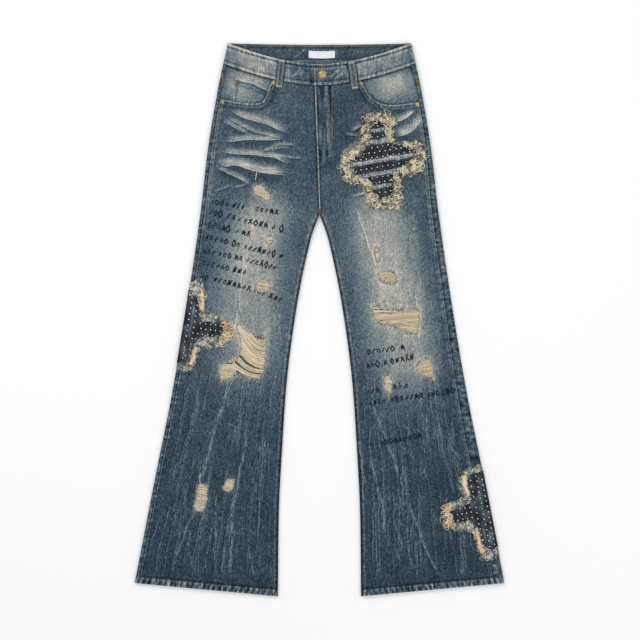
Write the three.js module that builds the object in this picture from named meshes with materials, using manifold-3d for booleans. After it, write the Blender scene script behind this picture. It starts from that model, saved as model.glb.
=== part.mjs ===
// Ripped flared jeans laid flat on their back, front up, with every sewn piece as its own solid.
// Millimetres. +X is towards the wearer's left, +Y towards the waist, +Z up off the table.
// The origin is on the table, in the middle of the garment's outline.
//
// The garment is a flattened tube. Its outer skin is one function, skin(), and every piece of cloth
// is a wall made from points of that skin, thickened along the skin's own normals.
import * as THREE from "three";
import { mergeVertices } from "three/addons/utils/BufferGeometryUtils.js";
import Module from "manifold-3d";

const wasm = await Module();
wasm.setup();

// ---------------------------------------------------------------- driving dimensions
const LENGTH = 1077;
const HALF_WAIST = 178; // half the width of the flat waistband at its top edge
const HALF_HIP_TOP = 186; // the same at the waistband's lower edge
const CROTCH_Y = 206;
const DENIM = 1.3; // one layer of denim
const BAND = 2.6; // the waistband's two layers
const BAND_HEIGHT = 42;
const FRONT_DIP = 42; // how far the front waistband sinks below the back one at the centre
const BACK_DIP = 3;
const DIP_POWER = 1.7;
const SEAM_GAP = 0.3; // clearance between pieces that are sewn together
const BAND_GAP = 0.9; // the same under the front waistband, whose curved foot is cut in chords
const FOLD_RADIUS = 3.3; // of the legs' side edges, seen in section
const UNDERSIDE_RISE = 1.6; // what the back pockets and loops hold the seat off the table by
const HEM_DEPTH = 13;
const HEM_EXTRA = 0.9; // the turned hem stands this much proud
const TOP_Y = LENGTH / 2;
const HEM_OUTER_Y = -TOP_Y + 26;
const HEM_OUTER_X = 360;
const HEM_WIDTH = 280;

// [y, half-width] of the silhouette's outer edge, and of each leg's inner edge.
const OUTER_EDGE = [
  [-540, 366],
  [-512, 360],
  [-312, 321],
  [-137, 286],
  [39, 256.5],
  [214, 231],
  [331, 217.5],
  [448, 198],
  [540, 178],
];
const INNER_EDGE = [
  [-540, 81],
  [-371, 79],
  [-254, 73],
  [-108, 62.5],
  [39, 42],
  [155, 17.5],
  [CROTCH_Y, 0],
];
// The side seam lies this far in from the silhouette, on the front: the back panel wraps round to it.
const SIDE_SEAM_LEFT = [
  [-540, 19],
  [-250, 19],
  [40, 13],
  [200, 12],
  [420, 8],
  [500, 13],
];
const SIDE_SEAM_RIGHT = 7;

// Flattened height of the tube, from the outer face of the back to the outer face of the front.
const LEG_LOFT = 6;
const HIP_LOFT = 6.6;
const UNDER_BAND_LOFT = 7.8;
const BAND_LOFT = 8.6;

// ---------------------------------------------------------------- small tools
const clamp01 = (v) => Math.min(Math.max(v, 0), 1);
const lerp = (a, b, t) => a + (b - a) * t;
const ease = (from, to, v) => {
  const t = clamp01((v - from) / (to - from));
  return t * t * (3 - 2 * t);
};

// A smooth curve through stations [y, value]: cubic pieces whose slopes are central differences.
function through(stations) {
  const last = stations.length - 1;
  const slope = (i) => {
    const a = stations[Math.max(i - 1, 0)];
    const b = stations[Math.min(i + 1, last)];
    return (b[1] - a[1]) / (b[0] - a[0]);
  };
  return (y) => {
    let i = 0;
    while (i < last - 1 && y > stations[i + 1][0]) i++;
    const [y0, v0] = stations[i];
    const [y1, v1] = stations[i + 1];
    const h = y1 - y0;
    const t = clamp01((y - y0) / h);
    const t2 = t * t;
    const t3 = t2 * t;
    return (
      v0 * (2 * t3 - 3 * t2 + 1) +
      slope(i) * h * (t3 - 2 * t2 + t) +
      v1 * (3 * t2 - 2 * t3) +
      slope(i + 1) * h * (t3 - t2)
    );
  };
}

const outerEdge = through(OUTER_EDGE);
const innerEdge = through(INNER_EDGE);
const leftSeam = through(SIDE_SEAM_LEFT);
const seamInset = (side, y) => (side > 0 ? leftSeam(y) : SIDE_SEAM_RIGHT);

// ---------------------------------------------------------------- lines across the garment
const hemLine = (x) => HEM_OUTER_Y - ((HEM_OUTER_X - Math.abs(x)) * 26) / HEM_WIDTH;
const dipped = (x, half, dip, power) => dip * (1 - clamp01(Math.abs(x) / half) ** power);
const frontTop = (x) => TOP_Y - dipped(x, HALF_WAIST, FRONT_DIP, DIP_POWER);
const backTop = (x) => TOP_Y - dipped(x, HALF_WAIST, BACK_DIP, 2);
const frontBandFoot = (x) => TOP_Y - BAND_HEIGHT - dipped(x, HALF_HIP_TOP, FRONT_DIP, DIP_POWER);
const backBandFoot = (x) => TOP_Y - BAND_HEIGHT - dipped(x, HALF_HIP_TOP, BACK_DIP, 2);
const yokeSeam = (x) => 400 + (42 * Math.abs(x)) / 200;

// The edge of the fly, where the wearer's left front lies over the right one.
const flyEdge = (y) => (-10.5 * clamp01((y - CROTCH_Y) / (TOP_Y - BAND_HEIGHT - CROTCH_Y)));

// ---------------------------------------------------------------- the skin
// Patches that wrap round a side edge hold the leg up there, as the seat is held up by its pockets.
const KNEE_CROSS = { side: -1, y: -14, inside: 1 };
const HEM_CROSS = { side: 1, y: -375, inside: 10 };
const WRAP_HOLD = 115;
const WRAP_FADE = 165;

function rise(x, y) {
  const seat = ease(130, 200, y);
  const wraps = [KNEE_CROSS, HEM_CROSS].map((cross) => {
    const away = Math.hypot(x - cross.side * outerEdge(cross.y), y - cross.y);
    return 1 - ease(WRAP_HOLD, WRAP_FADE, away);
  });
  return UNDERSIDE_RISE * Math.max(seat, ...wraps);
}

const bodyLoft = (y) => lerp(LEG_LOFT, HIP_LOFT, ease(0, 200, y)) +
  (UNDER_BAND_LOFT - HIP_LOFT) * ease(420, 485, y);

// How far the skin has come up from the edge's middle line, at `away` from the silhouette's edge.
const edgeLift = (away) => {
  const t = 1 - clamp01(away / FOLD_RADIUS);
  return Math.sqrt(1 - t * t);
};

// Distance from the leg's inner edge, or from the crotch point above it.
const fromInside = (x, y) =>
  y < CROTCH_Y ? Math.abs(x) - innerEdge(y) : Math.hypot(x, y - CROTCH_Y);
const fromEdge = (x, y) => Math.max(0, Math.min(outerEdge(y) - Math.abs(x), fromInside(x, y)));

// A point of the outer skin. face is 1 on the front and -1 on the back.
function skin(x, y, face, loft = bodyLoft(y)) {
  const hem = face > 0 ? HEM_EXTRA * (1 - ease(HEM_DEPTH - 2, HEM_DEPTH + 2, y - hemLine(x))) : 0;
  const middle = rise(x, y) + loft / 2;
  const half = SEAM_GAP / 2 + edgeLift(fromEdge(x, y)) * (loft / 2 + hem - SEAM_GAP / 2);
  return new THREE.Vector3(x, y, middle + face * half);
}

// ---------------------------------------------------------------- walls of cloth
// Where a column line x = column(y) meets a row line y = row(x).
function meet(column, row) {
  let y = row(0);
  let x = column(y);
  for (let i = 0; i < 8; i++) {
    y = row(x);
    x = column(y);
  }
  return [x, y];
}

// On the silhouette's very edge the normal is level, so a wall ends square to the fold there.
function normalsOf(grid) {
  const at = (i, j) =>
    grid[Math.min(Math.max(i, 0), grid.length - 1)][Math.min(Math.max(j, 0), grid[0].length - 1)];
  return grid.map((row, i) =>
    row.map((p, j) => {
      const along = at(i + 1, j).clone().sub(at(i - 1, j));
      const across = at(i, j + 1).clone().sub(at(i, j - 1));
      const normal = across.cross(along);
      return fromEdge(p.x, p.y) < 0.01 ? normal.setZ(0).normalize() : normal.normalize();
    }),
  );
}

// A closed wall between two grids of points of the same size.
function between(lower, upper) {
  const rows = lower.length;
  const columns = lower[0].length;
  const points = [...lower.flat(), ...upper.flat()];
  const index = [];
  const low = (i, j) => i * columns + j;
  const high = (i, j) => rows * columns + low(i, j);
  const quad = (a, b, c, d) => index.push(a, b, c, a, c, d);
  for (let i = 0; i < rows - 1; i++) {
    for (let j = 0; j < columns - 1; j++) {
      quad(high(i, j), high(i, j + 1), high(i + 1, j + 1), high(i + 1, j));
      quad(low(i, j), low(i + 1, j), low(i + 1, j + 1), low(i, j + 1));
    }
    quad(high(i, 0), high(i + 1, 0), low(i + 1, 0), low(i, 0));
    quad(high(i + 1, columns - 1), high(i, columns - 1), low(i, columns - 1), low(i + 1, columns - 1));
  }
  for (let j = 0; j < columns - 1; j++) {
    quad(high(0, j + 1), high(0, j), low(0, j), low(0, j + 1));
    quad(high(rows - 1, j), high(rows - 1, j + 1), low(rows - 1, j + 1), low(rows - 1, j));
  }
  return new THREE.BufferGeometry().setFromPoints(points).setIndex(index);
}

// A wall on the skin, from `under` to `over` along the outward normals.
// outward is 1 if the grid's own normals point out of the garment, and -1 if they point in.
function wall(grid, under, over, outward) {
  const normals = normalsOf(grid);
  const shifted = (by) =>
    grid.map((row, i) => row.map((p, j) => p.clone().addScaledVector(normals[i][j], by * outward)));
  return outward > 0 ? between(shifted(under), shifted(over)) : between(shifted(over), shifted(under));
}

// ---------------------------------------------------------------- joins and cuts
function solidOf(geometry) {
  const plain = geometry.clone();
  plain.deleteAttribute("normal");
  plain.deleteAttribute("uv");
  const merged = mergeVertices(plain, 1e-4);
  const made = new wasm.Manifold(
    new wasm.Mesh({
      numProp: 3,
      vertProperties: new Float32Array(merged.attributes.position.array),
      triVerts: new Uint32Array(merged.index.array),
    }),
  );
  return made;
}

function geometryOf(solid) {
  const mesh = solid.getMesh();
  return new THREE.BufferGeometry()
    .setAttribute("position", new THREE.BufferAttribute(new Float32Array(mesh.vertProperties), 3))
    .setIndex(new THREE.BufferAttribute(new Uint32Array(mesh.triVerts), 1));
}

// A tall prism over a flat outline, to cut or to keep cloth with.
function prism(shape, low = -50, high = 80) {
  const made = new THREE.ExtrudeGeometry(shape, {
    depth: high - low,
    bevelEnabled: false,
    curveSegments: 6,
  });
  return solidOf(made.translate(0, 0, low));
}

const outlineShape = (points) => new THREE.Shape(points.map(([x, y]) => new THREE.Vector2(x, y)));

// The outline with each side moved inwards by `gap`. Points run either way round.
function inset(points, gap) {
  const way = Math.sign(THREE.ShapeUtils.area(points.map(([x, y]) => new THREE.Vector2(x, y))));
  const count = points.length;
  return points.map((p, i) => {
    const before = points[(i + count - 1) % count];
    const after = points[(i + 1) % count];
    const into = [before, p].map((from, k) => {
      const to = k ? after : p;
      const along = new THREE.Vector2(to[0] - from[0], to[1] - from[1]).normalize();
      return new THREE.Vector2(-along.y, along.x).multiplyScalar(way);
    });
    const mean = into[0].clone().add(into[1]);
    mean.multiplyScalar(gap / Math.max(0.25, mean.dot(into[0])));
    return [p[0] + mean.x, p[1] + mean.y];
  });
}

// ---------------------------------------------------------------- the garment's tree
const jeans = new THREE.Group();
const finish = (color, roughness, metalness = 0) =>
  new THREE.MeshStandardMaterial({ color, roughness, metalness });
const DENIM_BLUE = finish(0x566b7c, 0.9);
const DENIM_INSIDE = finish(0x42515f, 0.9);
const CROSS_CLOTH = finish(0x2b3340, 0.85);
const RAW_THREAD = finish(0xcdbb94, 0.95);
const BRASS = finish(0xa8935f, 0.4, 1);
const LABEL_WHITE = finish(0xe7e7ee, 0.8);
const ZIP_TAPE = finish(0x2a2f3a, 0.8);

function add(name, geometry, material) {
  const mesh = new THREE.Mesh(geometry, material);
  mesh.name = name;
  jeans.add(mesh);
  return mesh;
}

const sideName = (side) => (side > 0 ? "left" : "right");

// ---------------------------------------------------------------- columns and rows
// Each column is { x: y => x, face }. These distances round a fold of the tube.
const ROUND_STEPS = [0, 0.45, 1.6, FOLD_RADIUS];
const MIDDLE_STEPS = 4;
const share = (count) => Array.from({ length: count - 1 }, (_, k) => (k + 1) / count);

function rowsBetween(low, high, shares) {
  return shares.map((t) => (x, face) => lerp(low(x, face), high(x, face), t));
}

// Shares of the way up a leg: the hem, even steps, and closer ones where the legs part.
function legShares(topAtCentre) {
  const crotch = (CROTCH_Y - hemLine(0)) / (topAtCentre - hemLine(0));
  const hem = [0, 0.011, 0.018];
  const leg = share(12).map((t) => lerp(0, crotch - 0.03, t));
  const fork = [-0.03, -0.01, 0, 0.02].map((d) => crotch + d);
  const hip = share(5).map((t) => lerp(crotch + 0.02, 1, t));
  return [...hem, ...leg, ...fork, ...hip, 1];
}

function gridOf(columns, rows, place) {
  return rows.map((row) =>
    columns.map(({ x: column, face }) => {
      const [x, y] = meet(column, (at) => row(at, face));
      return place(x, y, face);
    }),
  );
}

// ---------------------------------------------------------------- front panels
// The right front passes under the fly, so its skin sinks there by its own drop.
const FLY_UNDERLAP = 8;
const UNDERLAP_FROM = 226;
const underlap = (y, reach) => lerp(flyEdge(y) - SEAM_GAP, reach, ease(UNDERLAP_FROM, 250, y));
const flyDrop = (x, y, depth) =>
  depth * ease(flyEdge(y) - 14, flyEdge(y) - 3, x) * ease(CROTCH_Y, UNDERLAP_FROM, y);

const frontInside = (side, y) => {
  if (y < CROTCH_Y) return side * Math.max(innerEdge(y), SEAM_GAP / 2);
  return side > 0 ? flyEdge(y) : underlap(y, FLY_UNDERLAP);
};
const frontOutside = (side, y) => side * (outerEdge(y) - seamInset(side, y) - SEAM_GAP / 2);
const INSIDE_STEPS = [...ROUND_STEPS, 14];

function frontSkin(side) {
  const drop = side > 0 ? () => 0 : (x, y) => flyDrop(x, y, DENIM + 2 * SEAM_GAP);
  return (x, y, face) => {
    const p = skin(x, y, face);
    p.z -= drop(x, y);
    return p;
  };
}

function frontPanel(side) {
  const inside = INSIDE_STEPS.map((d) => ({ x: (y) => frontInside(side, y) + side * d, face: 1 }));
  const last = INSIDE_STEPS.at(-1);
  const middle = share(MIDDLE_STEPS).map((t) => ({
    x: (y) => lerp(frontInside(side, y) + side * last, frontOutside(side, y), t),
    face: 1,
  }));
  const outside = { x: (y) => frontOutside(side, y), face: 1 };
  const top = (x) => frontBandFoot(x) - BAND_GAP;
  const rows = rowsBetween(hemLine, top, legShares(top(0)));
  const grid = gridOf([...inside, ...middle, outside], rows, frontSkin(side));
  return solidOf(wall(grid, -DENIM, 0, side));
}

// The scooped mouths of the two front pockets, as the corner cut away from each front panel.
function scoopShape(side, gap = 0) {
  const shape = new THREE.Shape();
  if (side > 0) {
    shape.moveTo(82 + gap, 520);
    shape.lineTo(82 + gap, 462);
    shape.bezierCurveTo(88 + gap, 436 + gap, 112, 417 + gap, 145, 417 + gap);
    shape.bezierCurveTo(165, 417 + gap, 180, 420 + gap, 196, 425 + gap);
    shape.lineTo(240, 425 + gap);
    shape.lineTo(240, 520);
  } else {
    shape.moveTo(-92 - gap, 520);
    shape.lineTo(-92 - gap, 465);
    shape.bezierCurveTo(-98 - gap, 448, -104 - gap, 440, -104 - gap, 434);
    shape.bezierCurveTo(-105 - gap, 422 + gap, -118, 419.5 + gap, -132, 419.5 + gap);
    shape.bezierCurveTo(-150, 419.5 + gap, -172, 424 + gap, -196, 429 + gap);
    shape.lineTo(-240, 429 + gap);
    shape.lineTo(-240, 520);
  }
  return shape;
}

// ---------------------------------------------------------------- rips
// Each rip is an outline in the front panel. The weft threads left across it fill it, thinner than
// the denim, as one plain web.
const RIPS = {
  right: [
    [[-126, 262], [-112, 263], [-95, 242], [-95, 230], [-112, 236], [-130, 247]],
    [[-105, 163], [-92, 165], [-90, 147], [-103, 145]],
    [[-128, 62], [-118, 77], [-100, 80], [-95, 66], [-100, 55], [-120, 54]],
    [
      [-160, -3], [-148, -16], [-136, -26], [-108, -34], [-101, -19], [-104, -50], [-105, -88],
      [-114, -112], [-122, -117], [-145, -110], [-167, -106], [-176, -116], [-191, -122],
      [-195, -106], [-191, -87], [-174, -82], [-159, -75], [-151, -62], [-153, -31], [-162, -23],
    ],
    [[-235, -320], [-218, -322], [-219, -348], [-227, -373], [-245, -371], [-241, -346]],
    [[-184, -318], [-177, -310], [-165, -310], [-169, -335], [-182, -334], [-189, -330]],
  ],
  left: [
    [[108, 142], [114, 144], [118, 128], [116, 111], [110, 113], [107, 128]],
    [[114, 93], [134, 95], [149, 91], [153, 68], [120, 71], [116, 81]],
    [
      [102, 30], [118, 27], [138, 21], [167, 21], [196, 23], [194, -5], [191, -27], [176, -26],
      [147, -14], [118, -7], [104, 2],
    ],
    [[190, -80], [215, -72], [219, -82], [224, -112], [204, -109], [190, -106]],
    [[124, -110], [139, -108], [141, -125], [138, -143], [130, -139], [126, -129]],
  ],
};
const WEB_OVER = -0.3;
const WEB_UNDER = -0.9;
const WEB_MARGIN = 3;

// A flat-sided sheet of skin over a box in plan, big enough to be cut to any outline inside it.
function sheetOver(low, high, place, under, over, steps) {
  const spaced = (a, b, n) => Array.from({ length: n + 1 }, (_, k) => lerp(a, b, k / n));
  const grid = spaced(low[1], high[1], steps[1]).map((y) =>
    spaced(low[0], high[0], steps[0]).map((x) => place(x, y, 1)),
  );
  return solidOf(wall(grid, under, over, 1));
}

function boxOf(points, margin) {
  const xs = points.map((p) => p[0]);
  const ys = points.map((p) => p[1]);
  return [
    [Math.min(...xs) - margin, Math.min(...ys) - margin],
    [Math.max(...xs) + margin, Math.max(...ys) + margin],
  ];
}

function ripWeb(outline, side) {
  const [low, high] = boxOf(outline, WEB_MARGIN);
  const steps = [0, 1].map((k) => Math.max(1, Math.round((high[k] - low[k]) / 30)));
  const sheet = sheetOver(low, high, frontSkin(side), WEB_UNDER, WEB_OVER, steps);
  return sheet.intersect(prism(outlineShape(inset(outline, SEAM_GAP))));
}

for (const side of [-1, 1]) {
  const name = sideName(side);
  const holes = RIPS[name].map((outline) => prism(outlineShape(outline)));
  const cut = holes.reduce((cloth, hole) => cloth.subtract(hole), frontPanel(side));
  add(`front_panel_${name}`, geometryOf(cut.subtract(prism(scoopShape(side)))), DENIM_BLUE);
  RIPS[name].forEach((outline, k) =>
    add(`rip_threads_${name}_${k + 1}`, geometryOf(ripWeb(outline, side)), RAW_THREAD),
  );
}

// ---------------------------------------------------------------- back panels and yokes
// From the centre back or the inseam, under the leg, round its side edge and up to the side seam.
const backInside = (side, y) => side * Math.max(y < CROTCH_Y ? innerEdge(y) : 0, SEAM_GAP / 2);

function backColumns(side) {
  const edge = (y) => side * outerEdge(y);
  const inside = ROUND_STEPS.map((d) => ({ x: (y) => backInside(side, y) + side * d, face: -1 }));
  const middle = share(MIDDLE_STEPS).map((t) => ({
    x: (y) => lerp(backInside(side, y) + side * FOLD_RADIUS, edge(y) - side * FOLD_RADIUS, t),
    face: -1,
  }));
  const under = ROUND_STEPS.toReversed().map((d) => ({ x: (y) => edge(y) - side * d, face: -1 }));
  const over = ROUND_STEPS.map((d) => ({ x: (y) => edge(y) - side * d, face: 1 }));
  const seam = { x: (y) => edge(y) - side * (seamInset(side, y) - SEAM_GAP / 2), face: 1 };
  return [...inside, ...middle, ...under, ...over, seam];
}

const bandFoot = (x, face) => (face > 0 ? frontBandFoot(x) : backBandFoot(x)) - SEAM_GAP;

for (const side of [-1, 1]) {
  const columns = backColumns(side);
  const panelTop = (x) => yokeSeam(x) - SEAM_GAP / 2;
  const panelRows = rowsBetween(hemLine, panelTop, legShares(panelTop(0)));
  const panel = wall(gridOf(columns, panelRows, skin), -DENIM, 0, -side);
  add(`back_panel_${sideName(side)}`, panel, DENIM_BLUE);
  const yokeRows = rowsBetween((x) => yokeSeam(x) + SEAM_GAP / 2, bandFoot, [0, 0.35, 0.7, 1]);
  const yoke = wall(gridOf(columns, yokeRows, skin), -DENIM, 0, -side);
  add(`back_yoke_${sideName(side)}`, yoke, DENIM_BLUE);
}

// ---------------------------------------------------------------- back pockets, under the seat
const POCKET = { x: 108, top: 388, width: 142, side: 118, point: 150, thick: 1.2 };
for (const side of [-1, 1]) {
  const half = POCKET.width / 2;
  const taper = 8;
  const outline = outlineShape([
    [-half, 0],
    [half, 0],
    [half - taper, -POCKET.side],
    [0, -POCKET.point],
    [-half + taper, -POCKET.side],
  ]);
  const patch = new THREE.ExtrudeGeometry(outline, { depth: POCKET.thick, bevelEnabled: false });
  patch.rotateZ(side * 0.06);
  add(`back_pocket_${sideName(side)}`, patch, DENIM_BLUE).position.set(side * POCKET.x, POCKET.top, 0);
}

// ---------------------------------------------------------------- front pockets' facings, coin pocket
// The facing is the denim seen inside a pocket's mouth. On the right it lies a layer deeper, under
// the coin pocket.
const FACING_FOOT = 392;
const FACING_REACH = { 1: 60, [-1]: 72 };
const FACING_THICK = 1.2;
const COIN_THICK = 1;
const facingTop = { 1: -DENIM - SEAM_GAP, [-1]: -DENIM - 2 * SEAM_GAP - COIN_THICK };

for (const side of [-1, 1]) {
  const ends = [(y) => side * FACING_REACH[side], (y) => frontOutside(side, y)];
  const columns = [0, ...share(5), 1].map((t) => ({
    x: (y) => lerp(ends[0](y), ends[1](y), t),
    face: 1,
  }));
  const rows = rowsBetween(() => FACING_FOOT, (x) => frontBandFoot(x) - 2 * SEAM_GAP, [0, 0.5, 1]);
  const top = facingTop[side];
  const facing = wall(gridOf(columns, rows, frontSkin(side)), top - FACING_THICK, top, side);
  add(`pocket_facing_${sideName(side)}`, facing, DENIM_BLUE);
}

const COIN_POCKET = [[-163, 468], [-150, 465], [-131, 461], [-100, 447], [-96, 398], [-172, 398]];
{
  const [low, high] = boxOf(COIN_POCKET, WEB_MARGIN);
  const over = -DENIM - SEAM_GAP;
  const sheet = sheetOver(low, high, frontSkin(-1), over - COIN_THICK, over, [3, 4]);
  add("coin_pocket", geometryOf(sheet.intersect(prism(outlineShape(COIN_POCKET)))), DENIM_BLUE);
}

// ---------------------------------------------------------------- waistband
const bandSkin = (x, y, face) => skin(x, y, face, BAND_LOFT);
const BAND_UNDERLAP = 26;
const rightBandSkin = (x, y, face) => {
  const p = bandSkin(x, y, face);
  p.z -= flyDrop(x, y, BAND + 1.5 * SEAM_GAP);
  return p;
};
const EYELET = { x: 6, y: 476.5, radius: 2.8, slit: 17, slitWidth: 1.2 };

function bandColumns(side, inside, face) {
  const edge = (y) => side * outerEdge(y);
  const round = ROUND_STEPS.map((d) => ({ x: (y) => edge(y) - side * d, face }));
  const middle = share(8).map((t) => ({
    x: (y) => lerp(edge(y) - side * FOLD_RADIUS, inside(y) + side * 12, t),
    face,
  }));
  const end = [12, 0].map((d) => ({ x: (y) => inside(y) + side * d, face }));
  return [...round, ...middle, ...end];
}

const bandRows = (foot, top) => rowsBetween(foot, top, [0, 0.33, 0.67, 1]);
const THIN_BAND = -BAND;

{
  const rows = bandRows(frontBandFoot, frontTop);
  const left = wall(gridOf(bandColumns(1, flyEdge, 1), rows, bandSkin), THIN_BAND, 0, -1);
  const eyelet = new THREE.Shape();
  eyelet.absarc(EYELET.x, EYELET.y, EYELET.radius, 0, 2 * Math.PI);
  const half = EYELET.slitWidth / 2;
  const slit = outlineShape([
    [EYELET.x, EYELET.y - half],
    [EYELET.x + EYELET.slit, EYELET.y - half],
    [EYELET.x + EYELET.slit, EYELET.y + half],
    [EYELET.x, EYELET.y + half],
  ]);
  const worked = solidOf(left).subtract(prism(eyelet)).subtract(prism(slit));
  add("waistband_front_left", geometryOf(worked), DENIM_BLUE);

  const underlapEnd = () => BAND_UNDERLAP;
  const right = wall(
    gridOf(bandColumns(-1, underlapEnd, 1), rows, rightBandSkin),
    THIN_BAND,
    0,
    1,
  );
  add("waistband_front_right", right, DENIM_BLUE);

  const half1 = bandColumns(-1, () => 0, -1).slice(0, -1);
  const half2 = bandColumns(1, () => 0, -1).reverse();
  const back = wall(gridOf([...half1, ...half2], bandRows(backBandFoot, backTop), bandSkin), THIN_BAND, 0, -1);
  add("waistband_back", back, DENIM_INSIDE);
}

// ---------------------------------------------------------------- what is sewn on the waistband
const LABEL = { x: 4.5, y: 517, width: 51, height: 14, thick: 0.5 };
{
  const innerFace = UNDERSIDE_RISE + BAND + SEAM_GAP;
  const tab = new THREE.BoxGeometry(LABEL.width, LABEL.height, LABEL.thick);
  add("waist_label", tab, LABEL_WHITE).position.set(LABEL.x, LABEL.y, innerFace + LABEL.thick / 2);
}

// A belt loop is a strip from the band's top edge to just below its foot. ends are its [x, y].
const LOOP = { width: 11.6, thick: 1.4 };
const bandTopZ = UNDERSIDE_RISE + BAND_LOFT;
function frontLoop(name, top, foot) {
  const footZ = skin(foot[0], foot[1], 1).z;
  const levels = [bandTopZ, bandTopZ, footZ, footZ];
  const grid = [0, 0.84, 0.93, 1].map((t, i) =>
    [-0.5, 0.5].map(
      (w) =>
        new THREE.Vector3(
          lerp(top[0], foot[0], t) + w * LOOP.width,
          lerp(top[1], foot[1], t),
          levels[i] + 1.5 * SEAM_GAP,
        ),
    ),
  );
  const lifted = grid.map((row) => row.map((p) => p.clone().setZ(p.z + LOOP.thick)));
  add(name, between(lifted, grid), DENIM_BLUE);
}
frontLoop("belt_loop_front_right", [-73, 504], [-79, 452]);
frontLoop("belt_loop_front_left", [62, 501], [69.5, 449]);

const BACK_LOOPS = { belt_loop_back_right: -98, belt_loop_back_centre: 0, belt_loop_back_left: 98 };
for (const [name, x] of Object.entries(BACK_LOOPS)) {
  const strip = new THREE.BoxGeometry(LOOP.width, 54, POCKET.thick);
  add(name, strip, DENIM_BLUE).position.set(x, 508, POCKET.thick / 2);
}

// ---------------------------------------------------------------- metal
const BUTTON = { radius: 8.3, shank: 2, cap: 2.4 };
{
  const foot = UNDERSIDE_RISE + BAND_LOFT - BAND - 1.5 * SEAM_GAP + SEAM_GAP;
  const capFoot = bandTopZ + SEAM_GAP;
  const profile = [
    [0, foot],
    [BUTTON.shank, foot],
    [BUTTON.shank, capFoot],
    [BUTTON.radius - 0.6, capFoot],
    [BUTTON.radius, capFoot + 0.7],
    [BUTTON.radius - 0.4, capFoot + 1.6],
    [BUTTON.radius - 1.6, capFoot + BUTTON.cap],
    [BUTTON.radius - 2.4, capFoot + BUTTON.cap - 0.5],
    [0, capFoot + BUTTON.cap - 0.5],
  ].map(([r, z]) => new THREE.Vector2(r, z));
  const button = new THREE.LatheGeometry(profile, 24).rotateX(Math.PI / 2);
  add("waist_button", button, BRASS).position.set(EYELET.x, EYELET.y, 0);
}

// Each rivet is a low cap with a dimple, on the front panel beside a pocket's mouth.
const RIVETS = {
  rivet_right_inner: [-90.2, 461, -1],
  rivet_right_outer: [-189, 423.5, -1],
  rivet_left_inner: [81, 459.5, 1],
  rivet_left_outer: [190.5, 418.5, 1],
};
const RIVET_RADIUS = 3.9;
for (const [name, [x, y, side]] of Object.entries(RIVETS)) {
  const z = frontSkin(side)(x, y, 1).z + SEAM_GAP;
  const profile = [
    [0, 0],
    [RIVET_RADIUS - 0.4, 0],
    [RIVET_RADIUS, 0.5],
    [RIVET_RADIUS - 0.8, 1.5],
    [1.8, 1.5],
    [1.2, 0.8],
    [0, 0.8],
  ].map(([r, h]) => new THREE.Vector2(r, h));
  const rivet = new THREE.LatheGeometry(profile, 16).rotateX(Math.PI / 2);
  add(name, rivet, BRASS).position.set(x, y, z);
}

// ---------------------------------------------------------------- zip, closed under the fly
const ZIP = { from: 11, to: 35, foot: 312, top: 448, thick: 1.2 };
{
  const over = -DENIM - SEAM_GAP;
  const low = [ZIP.from, ZIP.foot];
  const high = [ZIP.to, ZIP.top];
  const zip = sheetOver(low, high, frontSkin(1), over - ZIP.thick, over, [1, 5]);
  add("fly_zip", geometryOf(zip), ZIP_TAPE);
}

// ---------------------------------------------------------------- studded crosses
// Each is a cross of dark cloth inside a frayed border. The knee and hem ones wrap round the
// silhouette's edge: their far arms are folded under, so they are cut from a sheet that wraps too.
const CROSS_CLOTH_THICK = 1.2;
const FRAY_THICK = 0.8;

function crossOutline({ up, along, half }, centre, turn) {
  const quarter = [[along, half], [half, half], [half, up]];
  const round = [
    ...quarter,
    ...quarter.toReversed().map(([x, y]) => [-x, y]),
    ...quarter.map(([x, y]) => [-x, -y]),
    ...quarter.toReversed().map(([x, y]) => [x, -y]),
  ];
  const c = Math.cos(turn);
  const s = Math.sin(turn);
  return round.map(([x, y]) => [centre[0] + x * c - y * s, centre[1] + x * s + y * c]);
}

const grown = ({ up, along, half }, by) => ({ up: up + by, along: along + by, half: half + by });

function addCross(name, sheets, cutter, cloth, reach) {
  add(`${name}_patch`, geometryOf(sheets[0].intersect(cutter(cloth))), CROSS_CLOTH);
  const border = cutter(reach).subtract(cutter(grown(cloth, SEAM_GAP)));
  add(`${name}_fray`, geometryOf(sheets[1].intersect(border)), RAW_THREAD);
}

{
  const centre = [122, 307];
  const turn = 0.115;
  const low = [centre[0] - 110, centre[1] - 110];
  const high = [centre[0] + 92, centre[1] + 108];
  const place = (x, y, face) => frontSkin(1)(Math.min(x, outerEdge(y) - 4), y, face).setX(x);
  const sheets = [CROSS_CLOTH_THICK, FRAY_THICK].map((thick) =>
    sheetOver(low, high, place, SEAM_GAP, SEAM_GAP + thick, [2, 4]),
  );
  const cutter = (size) => prism(outlineShape(crossOutline(size, centre, turn)));
  addCross("hip_cross", sheets, cutter, { up: 76, along: 63, half: 18 }, { up: 93, along: 82, half: 33 });
}

// The sheet that wraps round one side edge of a leg, `reach` wide on each face.
function wrapSheet({ side, y }, reach, thick) {
  const edge = (at) => side * outerEdge(at);
  const steps = [reach, reach * 0.5, ...ROUND_STEPS.toReversed()];
  const columns = [
    ...steps.map((d) => ({ x: (at) => edge(at) - side * d, face: -1 })),
    ...steps.toReversed().map((d) => ({ x: (at) => edge(at) - side * d, face: 1 })),
  ];
  const rows = rowsBetween(() => y - reach, () => y + reach, [0, ...share(6), 1]);
  return solidOf(wall(gridOf(columns, rows, skin), SEAM_GAP, SEAM_GAP + thick, -side));
}

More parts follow.
